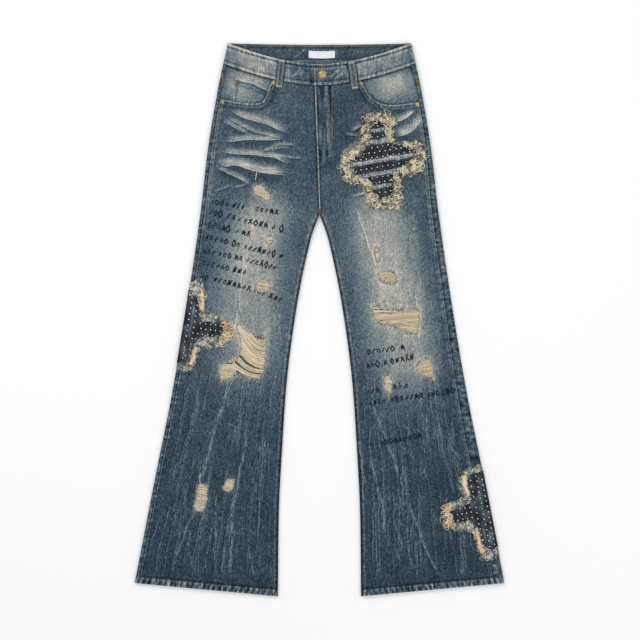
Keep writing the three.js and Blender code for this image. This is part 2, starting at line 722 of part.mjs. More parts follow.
for (const [name, cross] of Object.entries({ knee_cross: KNEE_CROSS, hem_cross: HEM_CROSS })) {
  const { side, y, inside } = cross;
  const slope = (outerEdge(y + 50) - outerEdge(y - 50)) / 100;
  const turn = -side * Math.atan(slope);
  const edge = side * outerEdge(y);
  const middle = rise(edge, y) + LEG_LOFT / 2;
  const cutter = (size) => {
    const over = crossOutline(size, [edge - side * inside, y], turn);
    const under = crossOutline(size, [edge + side * inside, y], turn);
    const low = prism(outlineShape(under), -50, middle + 0.01);
    return prism(outlineShape(over), middle - 0.01, 80).add(low);
  };
  const reach = 120;
  const sheets = [CROSS_CLOTH_THICK, FRAY_THICK].map((thick) => wrapSheet(cross, reach, thick));
  addCross(name, sheets, cutter, { up: 78, along: 72, half: 21 }, { up: 90, along: 90, half: 33 });
}

export default jeans;
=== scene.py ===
"""Ripped flared jeans, laid flat with the front up: washed denim panels with whiskers and creases,
rips with their weft threads left across, studded crosses with frayed borders, stitching and brass.

Lengths are millimetres until a mesh is made. The settings, the lights and the camera are in metres."""

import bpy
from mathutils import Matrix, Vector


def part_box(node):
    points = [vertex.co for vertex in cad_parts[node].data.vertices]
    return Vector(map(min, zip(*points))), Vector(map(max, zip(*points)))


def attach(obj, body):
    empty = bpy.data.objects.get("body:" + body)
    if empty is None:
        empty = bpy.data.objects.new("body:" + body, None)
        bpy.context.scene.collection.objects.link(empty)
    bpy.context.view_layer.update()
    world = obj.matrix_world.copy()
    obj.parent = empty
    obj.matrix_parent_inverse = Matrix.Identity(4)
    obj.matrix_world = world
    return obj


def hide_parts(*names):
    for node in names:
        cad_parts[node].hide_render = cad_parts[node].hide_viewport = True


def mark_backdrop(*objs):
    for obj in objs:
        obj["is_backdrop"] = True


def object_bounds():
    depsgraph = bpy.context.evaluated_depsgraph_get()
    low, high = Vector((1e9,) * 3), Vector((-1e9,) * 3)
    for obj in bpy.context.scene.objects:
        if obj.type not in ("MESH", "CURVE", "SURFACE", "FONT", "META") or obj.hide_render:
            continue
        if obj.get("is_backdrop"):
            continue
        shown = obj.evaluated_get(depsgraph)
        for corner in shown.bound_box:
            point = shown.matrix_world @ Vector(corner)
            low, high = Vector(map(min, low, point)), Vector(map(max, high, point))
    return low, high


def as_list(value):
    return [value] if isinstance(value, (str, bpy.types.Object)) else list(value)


bl_info = {
    "name": "Ripped jeans",
    "version": (1, 0, 0),
    "blender": (4, 5, 0),
    "location": "View3D > Sidebar > Jeans",
    "description": "Builds a pair of ripped, studded jeans around its packed solids",
    "category": "Object",
}

import math

import bpy
import numpy as np
from bpy.props import FloatProperty, PointerProperty
from mathutils import Vector

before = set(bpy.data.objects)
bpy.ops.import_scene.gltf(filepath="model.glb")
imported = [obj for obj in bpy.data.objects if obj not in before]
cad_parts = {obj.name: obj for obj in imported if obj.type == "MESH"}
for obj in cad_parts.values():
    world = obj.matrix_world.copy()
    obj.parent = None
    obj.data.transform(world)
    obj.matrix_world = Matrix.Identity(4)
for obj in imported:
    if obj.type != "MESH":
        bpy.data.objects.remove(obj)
CAD_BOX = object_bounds()
M = 0.001
SEED = 7
SIDES = {-1: "right", 1: "left"}

# ------------------------------------------------------------------ sizes of the cut
TOP_Y = 538.5
HALF_WAIST = 178
HALF_HIP_TOP = 186
BAND_HEIGHT = 42
FRONT_DIP = 42
BACK_DIP = 3
DIP_POWER = 1.7
CROTCH_Y = 206
HEM_OUTER = (360, -512.5)
HEM_WIDTH = 280
HEM_SLANT = 26
HEM_DEPTH = 13
HEM_EXTRA = 0.9
DENIM = 1.3
BAND = 2.6
GAP = 0.3
FOLD_RADIUS = 3.3
UNDERSIDE_RISE = 1.6
LEG_LOFT = 6.0
HIP_LOFT = 6.6
UNDER_BAND_LOFT = 7.8
BAND_LOFT = 8.6
OUTER_EDGE = [
    (-540, 366), (-512, 360), (-312, 321), (-137, 286), (39, 256.5),
    (214, 231), (331, 217.5), (448, 198), (540, 178),
]
INNER_EDGE = [
    (-540, 81), (-371, 79), (-254, 73), (-108, 62.5), (39, 42), (155, 17.5), (CROTCH_Y, 0),
]
SIDE_SEAM_LEFT = [(-540, 19), (-250, 19), (40, 13), (200, 12), (420, 8), (500, 13)]
SIDE_SEAM_RIGHT = 7
WRAP_CROSSES = [(-1, -14), (1, -375)]  # (side, y) of the crosses that wrap round a leg's edge


# ------------------------------------------------------------------ curves and the skin
def ease(low, high, value):
    t = np.clip((value - low) / (high - low), 0, 1)
    return t * t * (3 - 2 * t)


def bell(value, width, power=2):
    """1 at 0, falling away to nothing a few widths either side."""
    return np.exp(-((value / width) ** power))


def lerp(a, b, t):
    return a + (b - a) * t


def xyz(x, y, z):
    return np.stack([x, y, z], axis=-1)


def unit(way):
    return way / np.hypot(*way.T)[:, None]


def left_of(way):
    """Each direction, turned a quarter to its left."""
    return np.column_stack([-way[:, 1], way[:, 0]])


def turned(way, angle):
    """Each direction, turned left by its own angle."""
    c, s = np.cos(angle), np.sin(angle)
    return np.column_stack([c * way[:, 0] - s * way[:, 1], s * way[:, 0] + c * way[:, 1]])


def way_along(outline):
    """The direction of a closed outline at each of its points."""
    return unit(np.roll(outline, -1, axis=0) - np.roll(outline, 1, axis=0))


def through(stations):
    """A smooth curve through (y, value) stations, with slopes from their neighbours."""
    ys, values = np.array(stations, float).T
    slopes = np.empty_like(values)
    slopes[1:-1] = (values[2:] - values[:-2]) / (ys[2:] - ys[:-2])
    slopes[0] = (values[1] - values[0]) / (ys[1] - ys[0])
    slopes[-1] = (values[-1] - values[-2]) / (ys[-1] - ys[-2])

    def at(y):
        i = np.clip(np.searchsorted(ys, y) - 1, 0, len(ys) - 2)
        h = ys[i + 1] - ys[i]
        t = np.clip((y - ys[i]) / h, 0, 1)
        return (
            values[i] * (2 * t**3 - 3 * t**2 + 1)
            + slopes[i] * h * (t**3 - 2 * t**2 + t)
            + values[i + 1] * (3 * t**2 - 2 * t**3)
            + slopes[i + 1] * h * (t**3 - t**2)
        )

    return at


outer_edge = through(OUTER_EDGE)
inner_edge = through(INNER_EDGE)
left_seam = through(SIDE_SEAM_LEFT)


def seam_inset(side, y):
    return left_seam(y) if side > 0 else SIDE_SEAM_RIGHT + 0 * y


def hem_line(x):
    return HEM_OUTER[1] - (HEM_OUTER[0] - np.abs(x)) * HEM_SLANT / HEM_WIDTH


def dipped(x, half, dip, power):
    return dip * (1 - np.clip(np.abs(x) / half, 0, 1) ** power)


def front_top(x):
    return TOP_Y - dipped(x, HALF_WAIST, FRONT_DIP, DIP_POWER)


def back_top(x):
    return TOP_Y - dipped(x, HALF_WAIST, BACK_DIP, 2)


def front_band_foot(x):
    return TOP_Y - BAND_HEIGHT - dipped(x, HALF_HIP_TOP, FRONT_DIP, DIP_POWER)


def back_band_foot(x):
    return TOP_Y - BAND_HEIGHT - dipped(x, HALF_HIP_TOP, BACK_DIP, 2)


def yoke_seam(x):
    return 400 + 42 * np.abs(x) / 200


def fly_edge(y):
    return -10.5 * np.clip((y - CROTCH_Y) / (TOP_Y - BAND_HEIGHT - CROTCH_Y), 0, 1)


def underlap(y, reach):
    return lerp(fly_edge(y) - GAP, reach, ease(226, 250, y))


def rise(x, y):
    """How far the underside is held up: by the seat's pockets, and by the crosses that wrap."""
    up = ease(130, 200, y)
    for side, at in WRAP_CROSSES:
        away = np.hypot(x - side * outer_edge(at), y - at)
        up = np.maximum(up, 1 - ease(115, 165, away))
    return UNDERSIDE_RISE * up


def body_loft(y):
    return lerp(LEG_LOFT, HIP_LOFT, ease(0, 200, y)) + (UNDER_BAND_LOFT - HIP_LOFT) * ease(420, 485, y)


def from_edge(x, y):
    inside = np.where(y < CROTCH_Y, np.abs(x) - inner_edge(y), np.hypot(x, y - CROTCH_Y))
    return np.maximum(0, np.minimum(outer_edge(y) - np.abs(x), inside))


def skin(x, y, face, loft=None):
    """Height of the garment's outer skin. face is 1 on the front and -1 on the back."""
    loft = body_loft(y) if loft is None else loft
    short = 1 - np.clip(from_edge(x, y) / FOLD_RADIUS, 0, 1)
    hem = np.where(face > 0, HEM_EXTRA * (1 - ease(HEM_DEPTH - 2, HEM_DEPTH + 2, y - hem_line(x))), 0)
    half = GAP / 2 + np.sqrt(1 - short**2) * (loft / 2 + hem - GAP / 2)
    return rise(x, y) + loft / 2 + face * half


# ------------------------------------------------------------------ brushes
def steps_of(line):
    return np.hypot(*np.diff(line, axis=0).T)


def points_at(at, along, line):
    """Points of a polyline at each distance `at`, where `along` is the distance of its corners."""
    return np.column_stack([np.interp(at, along, line[:, k]) for k in range(2)])


def close_to(x, y, line, reach):
    """Which points are inside a line's box, widened by `reach`."""
    low, high = line.min(0) - reach, line.max(0) + reach
    return (x > low[0]) & (x < high[0]) & (y > low[1]) & (y < high[1])


def near(x, y, line):
    """Distance from a polyline, the side it is on (1 is left of its way), and the way along it."""
    line = np.array(line, float)
    lengths = steps_of(line)
    starts = np.concatenate([[0], np.cumsum(lengths)[:-1]])
    best = np.full(np.shape(x), np.inf)
    side = np.ones(np.shape(x))
    along = np.zeros(np.shape(x))
    for (ax, ay), (bx, by), length, start in zip(line[:-1], line[1:], lengths, starts):
        dx, dy = (bx - ax) / length, (by - ay) / length
        t = np.clip((x - ax) * dx + (y - ay) * dy, 0, length)
        distance = np.hypot(x - ax - t * dx, y - ay - t * dy)
        closer = distance < best
        best = np.where(closer, distance, best)
        side = np.where(closer, np.where(dx * (y - ay) - dy * (x - ax) >= 0, 1, -1), side)
        along = np.where(closer, start + t, along)
    return best, side, along


def fading_ends(line, along, taper):
    share = along / steps_of(line).sum()
    return ease(0, taper, share) * ease(0, taper, 1 - share)


def stroke(x, y, line, left, right, taper=0.3):
    """A soft line: 1 on it, fading over `left` and `right` of it, and towards its ends."""
    line = np.array(line, float)
    made = np.zeros(np.shape(x))
    at = close_to(x, y, line, 3 * max(left, right))
    if at.any():
        distance, side, along = near(x[at], y[at], line)
        made[at] = bell(distance, np.where(side > 0, left, right)) * fading_ends(line, along, taper)
    return made


def smooth_line(points, rounds=2, closed=False):
    """Cuts a polyline's corners, as a flowing hand would draw it."""
    points = np.array(points, float)
    for _ in range(rounds):
        after = np.roll(points, -1, axis=0) if closed else points[1:]
        before = points if closed else points[:-1]
        cut = np.stack([lerp(before, after, 0.25), lerp(before, after, 0.75)], axis=1).reshape(-1, 2)
        points = cut if closed else np.vstack([points[:1], cut[1:-1], points[-1:]])
    return points


def resample(points, step, closed=False):
    points = np.array(points, float)
    if closed:
        points = np.vstack([points, points[:1]])
    along = np.concatenate([[0], np.cumsum(steps_of(points))])
    count = max(2, int(round(along[-1] / step)) + 1)
    made = points_at(np.linspace(0, along[-1], count), along, points)
    return made[:-1] if closed else made


def torn(outline, rng, jag=1.1, step=2.4):
    """An outline with a torn edge."""
    points = resample(smooth_line(outline, 1, closed=True), step, closed=True)
    return points + left_of(way_along(points)) * rng.normal(0, jag, (len(points), 1)).clip(-2 * jag, 2 * jag)


def inside_of(x, y, outline):
    points = np.array(outline, float)
    inside = np.zeros(np.shape(x), bool)
    for (ax, ay), (bx, by) in zip(points, np.roll(points, -1, axis=0)):
        if ay != by:
            inside ^= ((ay > y) != (by > y)) & (x < (bx - ax) * (y - ay) / (by - ay) + ax)
    return inside


def nearest_on(x, y, outline):
    points = np.vstack([outline, outline[:1]])
    best = np.full(np.shape(x), np.inf)
    bx, by = x.copy(), y.copy()
    for a, b in zip(points[:-1], points[1:]):
        d = b - a
        t = np.clip(((x - a[0]) * d[0] + (y - a[1]) * d[1]) / max(d @ d, 1e-9), 0, 1)
        px, py = a[0] + t * d[0], a[1] + t * d[1]
        distance = np.hypot(x - px, y - py)
        closer = distance < best
        best = np.where(closer, distance, best)
        bx, by = np.where(closer, px, bx), np.where(closer, py, by)
    return best, bx, by


def trim(x, y, outline, cell, keep_inside):
    """Moves the grid's points that are close to the outline onto it, and says which are kept."""
    outline = np.array(outline, float)
    kept = np.full(x.shape, not keep_inside)
    at = close_to(x, y, outline, 3 * cell)
    inside = inside_of(x[at], y[at], outline)
    distance, px, py = nearest_on(x[at], y[at], outline)
    snap = distance < 0.55 * cell
    x[at] = np.where(snap, px, x[at])
    y[at] = np.where(snap, py, y[at])
    kept[at] = (inside == keep_inside) | snap
    return kept


def in_scene(name, mesh, made_of):
    piece = bpy.data.objects.new(name, mesh)
    bpy.context.scene.collection.objects.link(piece)
    mesh.materials.append(finish(made_of))
    return piece


def only(piece):
    bpy.ops.object.select_all(action="DESELECT")
    piece.select_set(True)
    bpy.context.view_layer.objects.active = piece


def mesh_of(name, vertices, faces, layers):
    """A mesh from arrays: vertices in millimetres, faces that all have as many corners, and the
    value of each layer at each vertex."""
    mesh = bpy.data.meshes.new(name)
    mesh.vertices.add(len(vertices))
    mesh.vertices.foreach_set("co", (np.asarray(vertices, float) * M).ravel())
    mesh.loops.add(faces.size)
    mesh.loops.foreach_set("vertex_index", faces.astype(np.int32).ravel())
    mesh.polygons.add(len(faces))
    mesh.polygons.foreach_set("loop_start", np.arange(len(faces), dtype=np.int32) * faces.shape[1])
    mesh.update(calc_edges=True)
    mesh.validate()
    for layer, values in layers.items():
        values = np.asarray(values, np.float32).ravel()
        mesh.attributes.new(layer, "FLOAT", "POINT").data.foreach_set("value", values)
    return mesh


def smooth(piece, angle=50):
    only(piece)
    bpy.ops.object.shade_smooth_by_angle(angle=math.radians(angle))


def whole_cells(kept):
    """The cells of a grid that have all four of their corners."""
    return kept[:-1, :-1] & kept[:-1, 1:] & kept[1:, 1:] & kept[1:, :-1]


def dress(piece, made_of, *stands_for):
    """Hangs a finished piece under the root body and hides the solids it stands for. made_of is not used."""
    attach(piece, "root")
    if stands_for:
        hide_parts(*stands_for)


def cloth(name, points, look, wall, made_of, flat, on=(), kept=None, down=False, stands_for=None):
    """A sewn piece, from a grid of points on its outer face, thickened inwards by its wall. look is its
    fade, with any painted shade, or a dictionary of layers, flat its cut size and `on` what it lies on;
    flat and `on` are not used. down is for a grid whose middle faces the table. It stands for the solid
    of its own name unless stands_for says otherwise."""
    look = look if isinstance(look, dict) else {"Fade": look}
    rows, columns = points.shape[:2]
    row, column = rows // 2, columns // 2
    corner, beside, above = points[row, column], points[row, column + 1], points[row + 1, column]
    whole = whole_cells(np.ones((rows, columns), bool) if kept is None else kept)
    index = np.arange(rows * columns).reshape(rows, columns)
    quads = np.stack([index[:-1, :-1], index[:-1, 1:], index[1:, 1:], index[1:, :-1]], axis=-1)[whole]
    if (np.cross(beside - corner, above - corner)[2] < 0) != down:
        quads = quads[:, ::-1]
    used, faces = np.unique(quads, return_inverse=True)
    layers = {key: np.broadcast_to(values, (rows, columns)).ravel()[used] for key, values in look.items()}
    mesh = mesh_of(name, points.reshape(-1, 3)[used], faces.reshape(-1, 4), layers)
    piece = in_scene(name, mesh, made_of)
    only(piece)
    thicken = piece.modifiers.new("Wall", "SOLIDIFY")
    thicken.thickness = wall * M
    thicken.offset = -1
    bpy.ops.object.modifier_apply(modifier=thicken.name)
    smooth(piece)
    dress(piece, made_of, *([name] if stands_for is None else stands_for))
    width, length = (size * M for size in flat)
    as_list(on)


def tubes(name, paths, radius, tint, made_of, *stands_for):
    """Threads as one piece, four sided: (threads, steps, 3) paths, with a radius for every step."""
    paths = np.asarray(paths, float)
    count, steps = paths.shape[:2]
    sides = 4
    radius = np.broadcast_to(radius, (count, steps))
    way = np.gradient(paths, axis=1)
    way /= np.linalg.norm(way, axis=2, keepdims=True) + 1e-9
    across = np.cross(way, np.array([0.0, 0.0, 1.0]))
    level = np.linalg.norm(across, axis=2, keepdims=True)
    across = np.where(level > 0.05, across / (level + 1e-9), np.array([1.0, 0.0, 0.0]))
    up = np.cross(across, way)
    turn = np.arange(sides) / sides * 2 * math.pi + math.pi / sides
    ring = (
        paths[:, :, None]
        + radius[:, :, None, None] * np.cos(turn)[:, None] * across[:, :, None]
        + radius[:, :, None, None] * np.sin(turn)[:, None] * up[:, :, None]
    )
    index = np.arange(count * steps * sides).reshape(count, steps, sides)
    next_side = np.roll(index, -1, axis=2)
    walls = np.stack([index[:, :-1], index[:, 1:], next_side[:, 1:], next_side[:, :-1]], axis=-1)
    faces = np.concatenate([walls.reshape(-1, 4), index[:, 0], index[:, -1, ::-1]])
    tint = np.repeat(np.broadcast_to(tint, (count,)), steps * sides)
    piece = in_scene(name, mesh_of(name, ring.reshape(-1, 3), faces[:, ::-1], {"Fade": tint}), made_of)
    smooth(piece, 80)
    dress(piece, made_of, *stands_for)


# ------------------------------------------------------------------ materials
def linear(red, green, blue):
    """Scene colour of a swatch given in 0 to 255 screen values."""
    made = []
    for value in (red, green, blue):
        v = value / 255
        made.append(v / 12.92 if v <= 0.04045 else ((v + 0.055) / 1.055) ** 2.4)
    return (*made, 1.0)


class Shader:
    """A material and its node tree, with short ways to add and join nodes."""

    def __init__(self, name, roughness, specular=0.25, metallic=0.0, sheen=0.0):
        self.material = bpy.data.materials.new(name)
        self.material.use_nodes = True
        self.tree = self.material.node_tree
        self.surface = self.tree.nodes["Principled BSDF"]
        self.surface.inputs["Roughness"].default_value = roughness
        self.surface.inputs["Specular IOR Level"].default_value = specular
        self.surface.inputs["Metallic"].default_value = metallic
        self.surface.inputs["Sheen Weight"].default_value = sheen
        self.coordinates = self.add("ShaderNodeTexCoord").outputs["Object"]

    def add(self, kind, **values):
        node = self.tree.nodes.new(kind)
        for name, value in values.items():
            setattr(node, name, value)
        return node

    def join(self, source, target):
        self.tree.links.new(source, target)

    def scaled(self, scale, turn=0.0):
        node = self.add("ShaderNodeMapping")
        node.inputs["Scale"].default_value = scale
        node.inputs["Rotation"].default_value = (0, 0, math.radians(turn))
        self.join(self.coordinates, node.inputs["Vector"])
        return node.outputs["Vector"]

    def noise(self, vector, scale, detail=2.0, roughness=0.6):
        node = self.add("ShaderNodeTexNoise")
        node.inputs["Scale"].default_value = scale
        node.inputs["Detail"].default_value = detail
        node.inputs["Roughness"].default_value = roughness
        self.join(vector, node.inputs["Vector"])
        return node.outputs["Fac"]

    def math(self, operation, a, b):
        node = self.add("ShaderNodeMath", operation=operation)
        for socket, value in zip(node.inputs, (a, b)):
            if isinstance(value, (int, float)):
                socket.default_value = value
            else:
                self.join(value, socket)
        return node.outputs[0]

    def centred(self, value, amount):
        """A 0 to 1 value made to swing `amount` either way about 0."""
        return self.math("MULTIPLY", self.math("SUBTRACT", value, 0.5), 2 * amount)

    def bell(self, value, middle, width):
        """1 where the value is `middle`, falling to nothing a few widths away."""
        away = self.math("DIVIDE", self.math("SUBTRACT", value, middle), width)
        return self.math("POWER", math.e, self.math("MULTIPLY", self.math("MULTIPLY", away, away), -1.0))

    def total(self, *values):
        made = values[0]
        for value in values[1:]:
            made = self.math("ADD", made, value)
        return made

    def layer(self, name):
        return self.add("ShaderNodeAttribute", attribute_name=name).outputs["Fac"]

    def ramp(self, value, stops):
        node = self.add("ShaderNodeValToRGB")
        elements = node.color_ramp.elements
        while len(elements) < len(stops):
            elements.new(0.5)
        for element, (position, colour) in zip(elements, stops):
            element.position = position
            element.color = linear(*colour)
        self.join(value, node.inputs["Fac"])
        return node.outputs["Color"]

    def colour(self, output):
        self.join(output, self.surface.inputs["Base Color"])

    def bump(self, height, strength, distance):
        node = self.add("ShaderNodeBump")
        node.inputs["Strength"].default_value = strength
        node.inputs["Distance"].default_value = distance * M
        self.join(height, node.inputs["Height"])
        self.join(node.outputs["Normal"], self.surface.inputs["Normal"])


DENIM_STOPS = [
    (0.0, (18, 25, 36)),
    (0.25, (46, 64, 79)),
    (0.45, (82, 99, 110)),
    (0.65, (126, 137, 139)),
    (0.85, (172, 172, 165)),
    (1.0, (212, 206, 192)),
]


TWILL_PITCH = 1.15


def twill_cloth(name, stops, grain=0.2, turn=62):
    """Washed twill: diagonal ribs, slubs along the warp, and the salt and pepper of worn yarn.
    Its layers are the fade, with painted shade along seams, grooves and edges, then Crease and Crisp for
    fine lines, each a pale crest with a painted shadow beside it, then Pucker for shrunken seams."""
    shader = Shader(name, roughness=0.92, specular=0.12, sheen=0.1)
    speck = shader.noise(shader.scaled((1, 0.7, 1)), 430, 1.5, 0.8)
    yarn = shader.noise(shader.coordinates, 1100, 1.0, 0.5)
    dash = shader.noise(shader.scaled((440, 75, 1)), 1.0, 1.5, 0.6)
    slub = shader.noise(shader.scaled((300, 16, 1)), 1.0, 2.0, 0.6)
    cloud = shader.noise(shader.coordinates, 30, 3.0, 0.65)
    rib = shader.add("ShaderNodeTexWave", wave_type="BANDS", bands_direction="X")
    rib.inputs["Scale"].default_value = 2 * math.pi / (20 * TWILL_PITCH * M)
    rib.inputs["Distortion"].default_value = 0.6
    shader.join(shader.scaled((1, 1, 1), turn), rib.inputs["Vector"])
    waver = shader.noise(shader.coordinates, 120, 2.0, 0.6)
    away = shader.total(shader.layer("Crease"), shader.centred(waver, 0.9))
    crest = shader.bell(away, 0.0, 0.9)
    shadow = shader.math("MULTIPLY", shader.bell(away, -2.3, 1.2), -0.5)
    crease = shader.math("MULTIPLY", shader.total(crest, shadow), shader.layer("Crisp"))
    pucker = shader.layer("Pucker")
    blocks = shader.centred(shader.noise(shader.scaled((210, 34, 1)), 1.0, 1.0, 0.5), 1.0)
    rungs = shader.centred(shader.noise(shader.scaled((60, 165, 1)), 1.0, 1.0, 0.5), 1.0)
    puckers = shader.total(
        shader.math("MULTIPLY", blocks, shader.math("MAXIMUM", pucker, 0)),
        shader.math("MULTIPLY", rungs, shader.math("MAXIMUM", shader.math("MULTIPLY", pucker, -1), 0)),
    )
    worn_and_shaded = shader.total(
        shader.layer("Fade"),
        crease,
        puckers,
        shader.centred(speck, grain * 2.3),
        shader.centred(yarn, grain * 0.5),
        shader.centred(dash, grain * 0.6),
        shader.centred(slub, grain * 0.28),
        shader.centred(cloud, 0.09),
        shader.centred(rib.outputs["Fac"], 0.04),
    )
    shader.colour(shader.ramp(worn_and_shaded, stops))
    height = shader.total(
        shader.math("MULTIPLY", rib.outputs["Fac"], 0.3),
        shader.math("MULTIPLY", speck, 0.9),
        shader.math("MULTIPLY", dash, 0.5),
        shader.math("MULTIPLY", crease, 2.0),
        shader.math("MULTIPLY", puckers, 0.9),
    )
    shader.bump(height, 0.6, 0.6)
    return shader.material


def yarn_material(name, stops, roughness=0.9):
    """Loose or sewn thread: its colour runs with each thread's own tint."""
    shader = Shader(name, roughness=roughness, specular=0.15, sheen=0.2)
    fleck = shader.noise(shader.coordinates, 420, 2.0, 0.7)
    ply = shader.noise(shader.coordinates, 1700, 1.0, 0.5)
    tint = shader.total(shader.layer("Fade"), shader.centred(fleck, 0.16), shader.centred(ply, 0.08))
    shader.colour(shader.ramp(tint, stops))
    shader.bump(ply, 0.4, 0.3)
    return shader.material


def brass_material(name, light, dark):
    shader = Shader(name, roughness=0.36, specular=0.5, metallic=0.8)
    tarnish = shader.noise(shader.coordinates, 260, 3.0, 0.65)
    scratch = shader.noise(shader.scaled((1, 6, 1), 20), 520, 2.0, 0.6)
    value = shader.total(tarnish, shader.centred(scratch, 0.12))
    shader.colour(shader.ramp(value, [(0.3, dark), (0.7, light)]))
    shader.bump(scratch, 0.15, 0.15)
    return shader.material


def satin_material(name):
    """The bare label: smooth tape with a fine ribbed face."""
    shader = Shader(name, roughness=0.5, specular=0.3, sheen=0.1)
    rib = shader.noise(shader.scaled((60, 1500, 1)), 1.0, 1.0, 0.5)
    cloud = shader.noise(shader.coordinates, 90, 2.0, 0.5)
    value = shader.total(rib, shader.centred(cloud, 0.2))
    shader.colour(shader.ramp(value, [(0.2, (222, 222, 232)), (0.8, (244, 244, 250))]))
    shader.bump(rib, 0.2, 0.15)
    return shader.material


def print_material(name):
    """Worn dark ink, broken up where it has rubbed off."""
    shader = Shader(name, roughness=0.85, specular=0.15)
    fleck = shader.noise(shader.coordinates, 620, 3.0, 0.8)
    value = shader.total(shader.layer("Fade"), shader.centred(fleck, 0.5))
    shader.colour(shader.ramp(value, [(0.2, (30, 35, 45)), (0.7, (52, 62, 74)), (1.0, (112, 122, 126))]))
    return shader.material


# Each finish: its maker, its name, and for most its colours from the darkest up and its grain.
FINISHES = {
    "denim": (twill_cloth, "Washed denim", DENIM_STOPS),
    "cross": (twill_cloth, "Dark cross cloth",
              [(0.0, (16, 20, 30)), (0.35, (44, 54, 66)), (0.6, (84, 95, 104)), (1.0, (184, 189, 195))],
              0.15, -58),
    "tape": (twill_cloth, "Zip tape", [(0.0, (16, 20, 28)), (1.0, (60, 66, 78))], 0.1),
    "weft": (yarn_material, "Weft threads",
             [(0.0, (92, 84, 70)), (0.4, (178, 160, 130)), (0.7, (226, 208, 174)), (1.0, (250, 238, 212))]),
    "peach": (yarn_material, "Rolled edge",
              [(0.0, (92, 74, 52)), (0.5, (202, 168, 124)), (1.0, (246, 224, 184))]),
    "fray": (yarn_material, "Frayed border",
             [(0.0, (38, 42, 44)), (0.3, (96, 98, 88)), (0.6, (180, 172, 144)), (1.0, (246, 236, 206))]),
    "frayed": (yarn_material, "Frayed blue and white",
               [(0.0, (44, 60, 76)), (0.5, (112, 128, 136)), (1.0, (206, 206, 194))]),
    "topstitch": (yarn_material, "Topstitch thread",
                  [(0.0, (110, 76, 50)), (0.35, (128, 108, 80)), (0.7, (160, 156, 138)),
                   (1.0, (206, 204, 190))], 0.6),
    "brass": (brass_material, "Aged brass", (232, 208, 148), (140, 118, 70)),
    "stud": (brass_material, "Pale studs", (246, 232, 200), (160, 142, 104)),
    "label": (satin_material, "Label satin"),
    "ink": (print_material, "Worn ink"),
}
_made = {}


def finish(name):
    """Each material is made once and shared."""
    if name not in _made:
        maker, *given = FINISHES[name]
        _made[name] = maker(*given)
    return _made[name]


# ------------------------------------------------------------------ the wash, with painted shade along seams, grooves and edges
# The thighs and knees are sanded pale, as (y, middle, half width, gain) down each leg.
GLOW = {
    -1: [(-220, -148, 40, 0), (-180, -145, 50, 0.03), (-137, -142, 60, 0.10), (-90, -143, 66, 0.25),
         (-44, -144, 72, 0.34), (5, -143, 72, 0.33), (54, -141, 70, 0.32), (100, -132, 62, 0.40),
         (150, -126, 56, 0.42), (200, -114, 54, 0.41), (235, -108, 48, 0.22), (268, -104, 40, 0)],
    1: [(-200, 160, 44, 0), (-160, 160, 54, 0.10), (-120, 168, 58, 0.25), (-92, 170, 62, 0.38),
        (-44, 160, 66, 0.40), (5, 153, 66, 0.45), (54, 145, 64, 0.45), (100, 132, 62, 0.43),
        (150, 124, 60, 0.43), (200, 113, 56, 0.38), (235, 106, 48, 0.22), (268, 102, 40, 0)],
}
# Other soft patches: (from, to, half width, gain).
SHADES = [
    ((-150, 420), (-110, 395), 40, 0.05),
    ((56, 430), (40, 330), 34, -0.07),
    ((-30, 430), (-34, 250), 30, -0.03),
    ((170, 400), (150, 395), 40, 0.07),
    ((232, 120), (262, -110), 14, -0.05),
    ((-226, 150), (-240, 60), 16, -0.06),
    ((240, -300), (262, -450), 30, -0.05),
]

# Whiskers, by their sharp lower edge from left to right. (points, width of the pale band, gain, height)
WHISKERS = [
    ([(-176, 410), (-160, 400), (-143, 391), (-123, 387), (-99, 380), (-82, 371), (-59, 363)], 10, 0.24, 0.9),
    ([(-190, 387), (-176, 380), (-159, 371), (-137, 361)], 8, 0.20, 0.7),
    ([(-183, 397), (-166, 386), (-145, 375), (-130, 367), (-112, 362), (-95, 359), (-80, 354),
      (-68, 351)], 5, 0.20, 0.8),
    ([(-188, 347), (-176, 347), (-159, 348), (-145, 351), (-123, 350), (-102, 350), (-67, 351)],
     8, 0.28, 0.9),
    ([(-195, 328), (-180, 325), (-166, 323), (-145, 322), (-123, 321), (-106, 318), (-90, 317), (-80, 313),
      (-67, 307), (-54, 304)], 8, 0.30, 1.0),
    ([(-117, 328), (-100, 330), (-90, 337), (-79, 341), (-66, 341), (-46, 340)], 4, 0.20, 0.6),
    ([(-96, 327), (-86, 333), (-72, 335), (-54, 333)], 3, 0.16, 0.4),
    ([(-90, 323), (-73, 318), (-54, 315), (-32, 314)], 3, 0.18, 0.4),
    ([(-202, 310), (-190, 301), (-180, 298), (-170, 302), (-156, 300), (-140, 294), (-123, 289), (-102, 285),
      (-80, 283), (-60, 280)], 13, 0.36, 1.2),
    ([(-202, 295), (-190, 291), (-176, 284), (-159, 277), (-143, 268), (-132, 264)], 7, 0.28, 0.8),
    ([(-203, 250), (-187, 255), (-169, 263)], 3, 0.12, 0.3),
    ([(-167, 257), (-152, 260), (-139, 264)], 3, 0.14, 0.3),
    ([(62, 367), (72, 372), (84, 379)], 5, 0.22, 0.5),
    ([(50, 360), (62, 359), (76, 359)], 4, 0.18, 0.4),
    ([(42, 315), (55, 326), (70, 335), (85, 338)], 9, 0.26, 0.8),
    ([(146, 384), (164, 389), (175, 397), (186, 408)], 8, 0.30, 0.9),
    ([(147, 355), (164, 360), (181, 368), (192, 378), (200, 392)], 13, 0.30, 1.0),
    ([(63, 240), (78, 243), (93, 248)], 3, 0.2, 0.4),
]

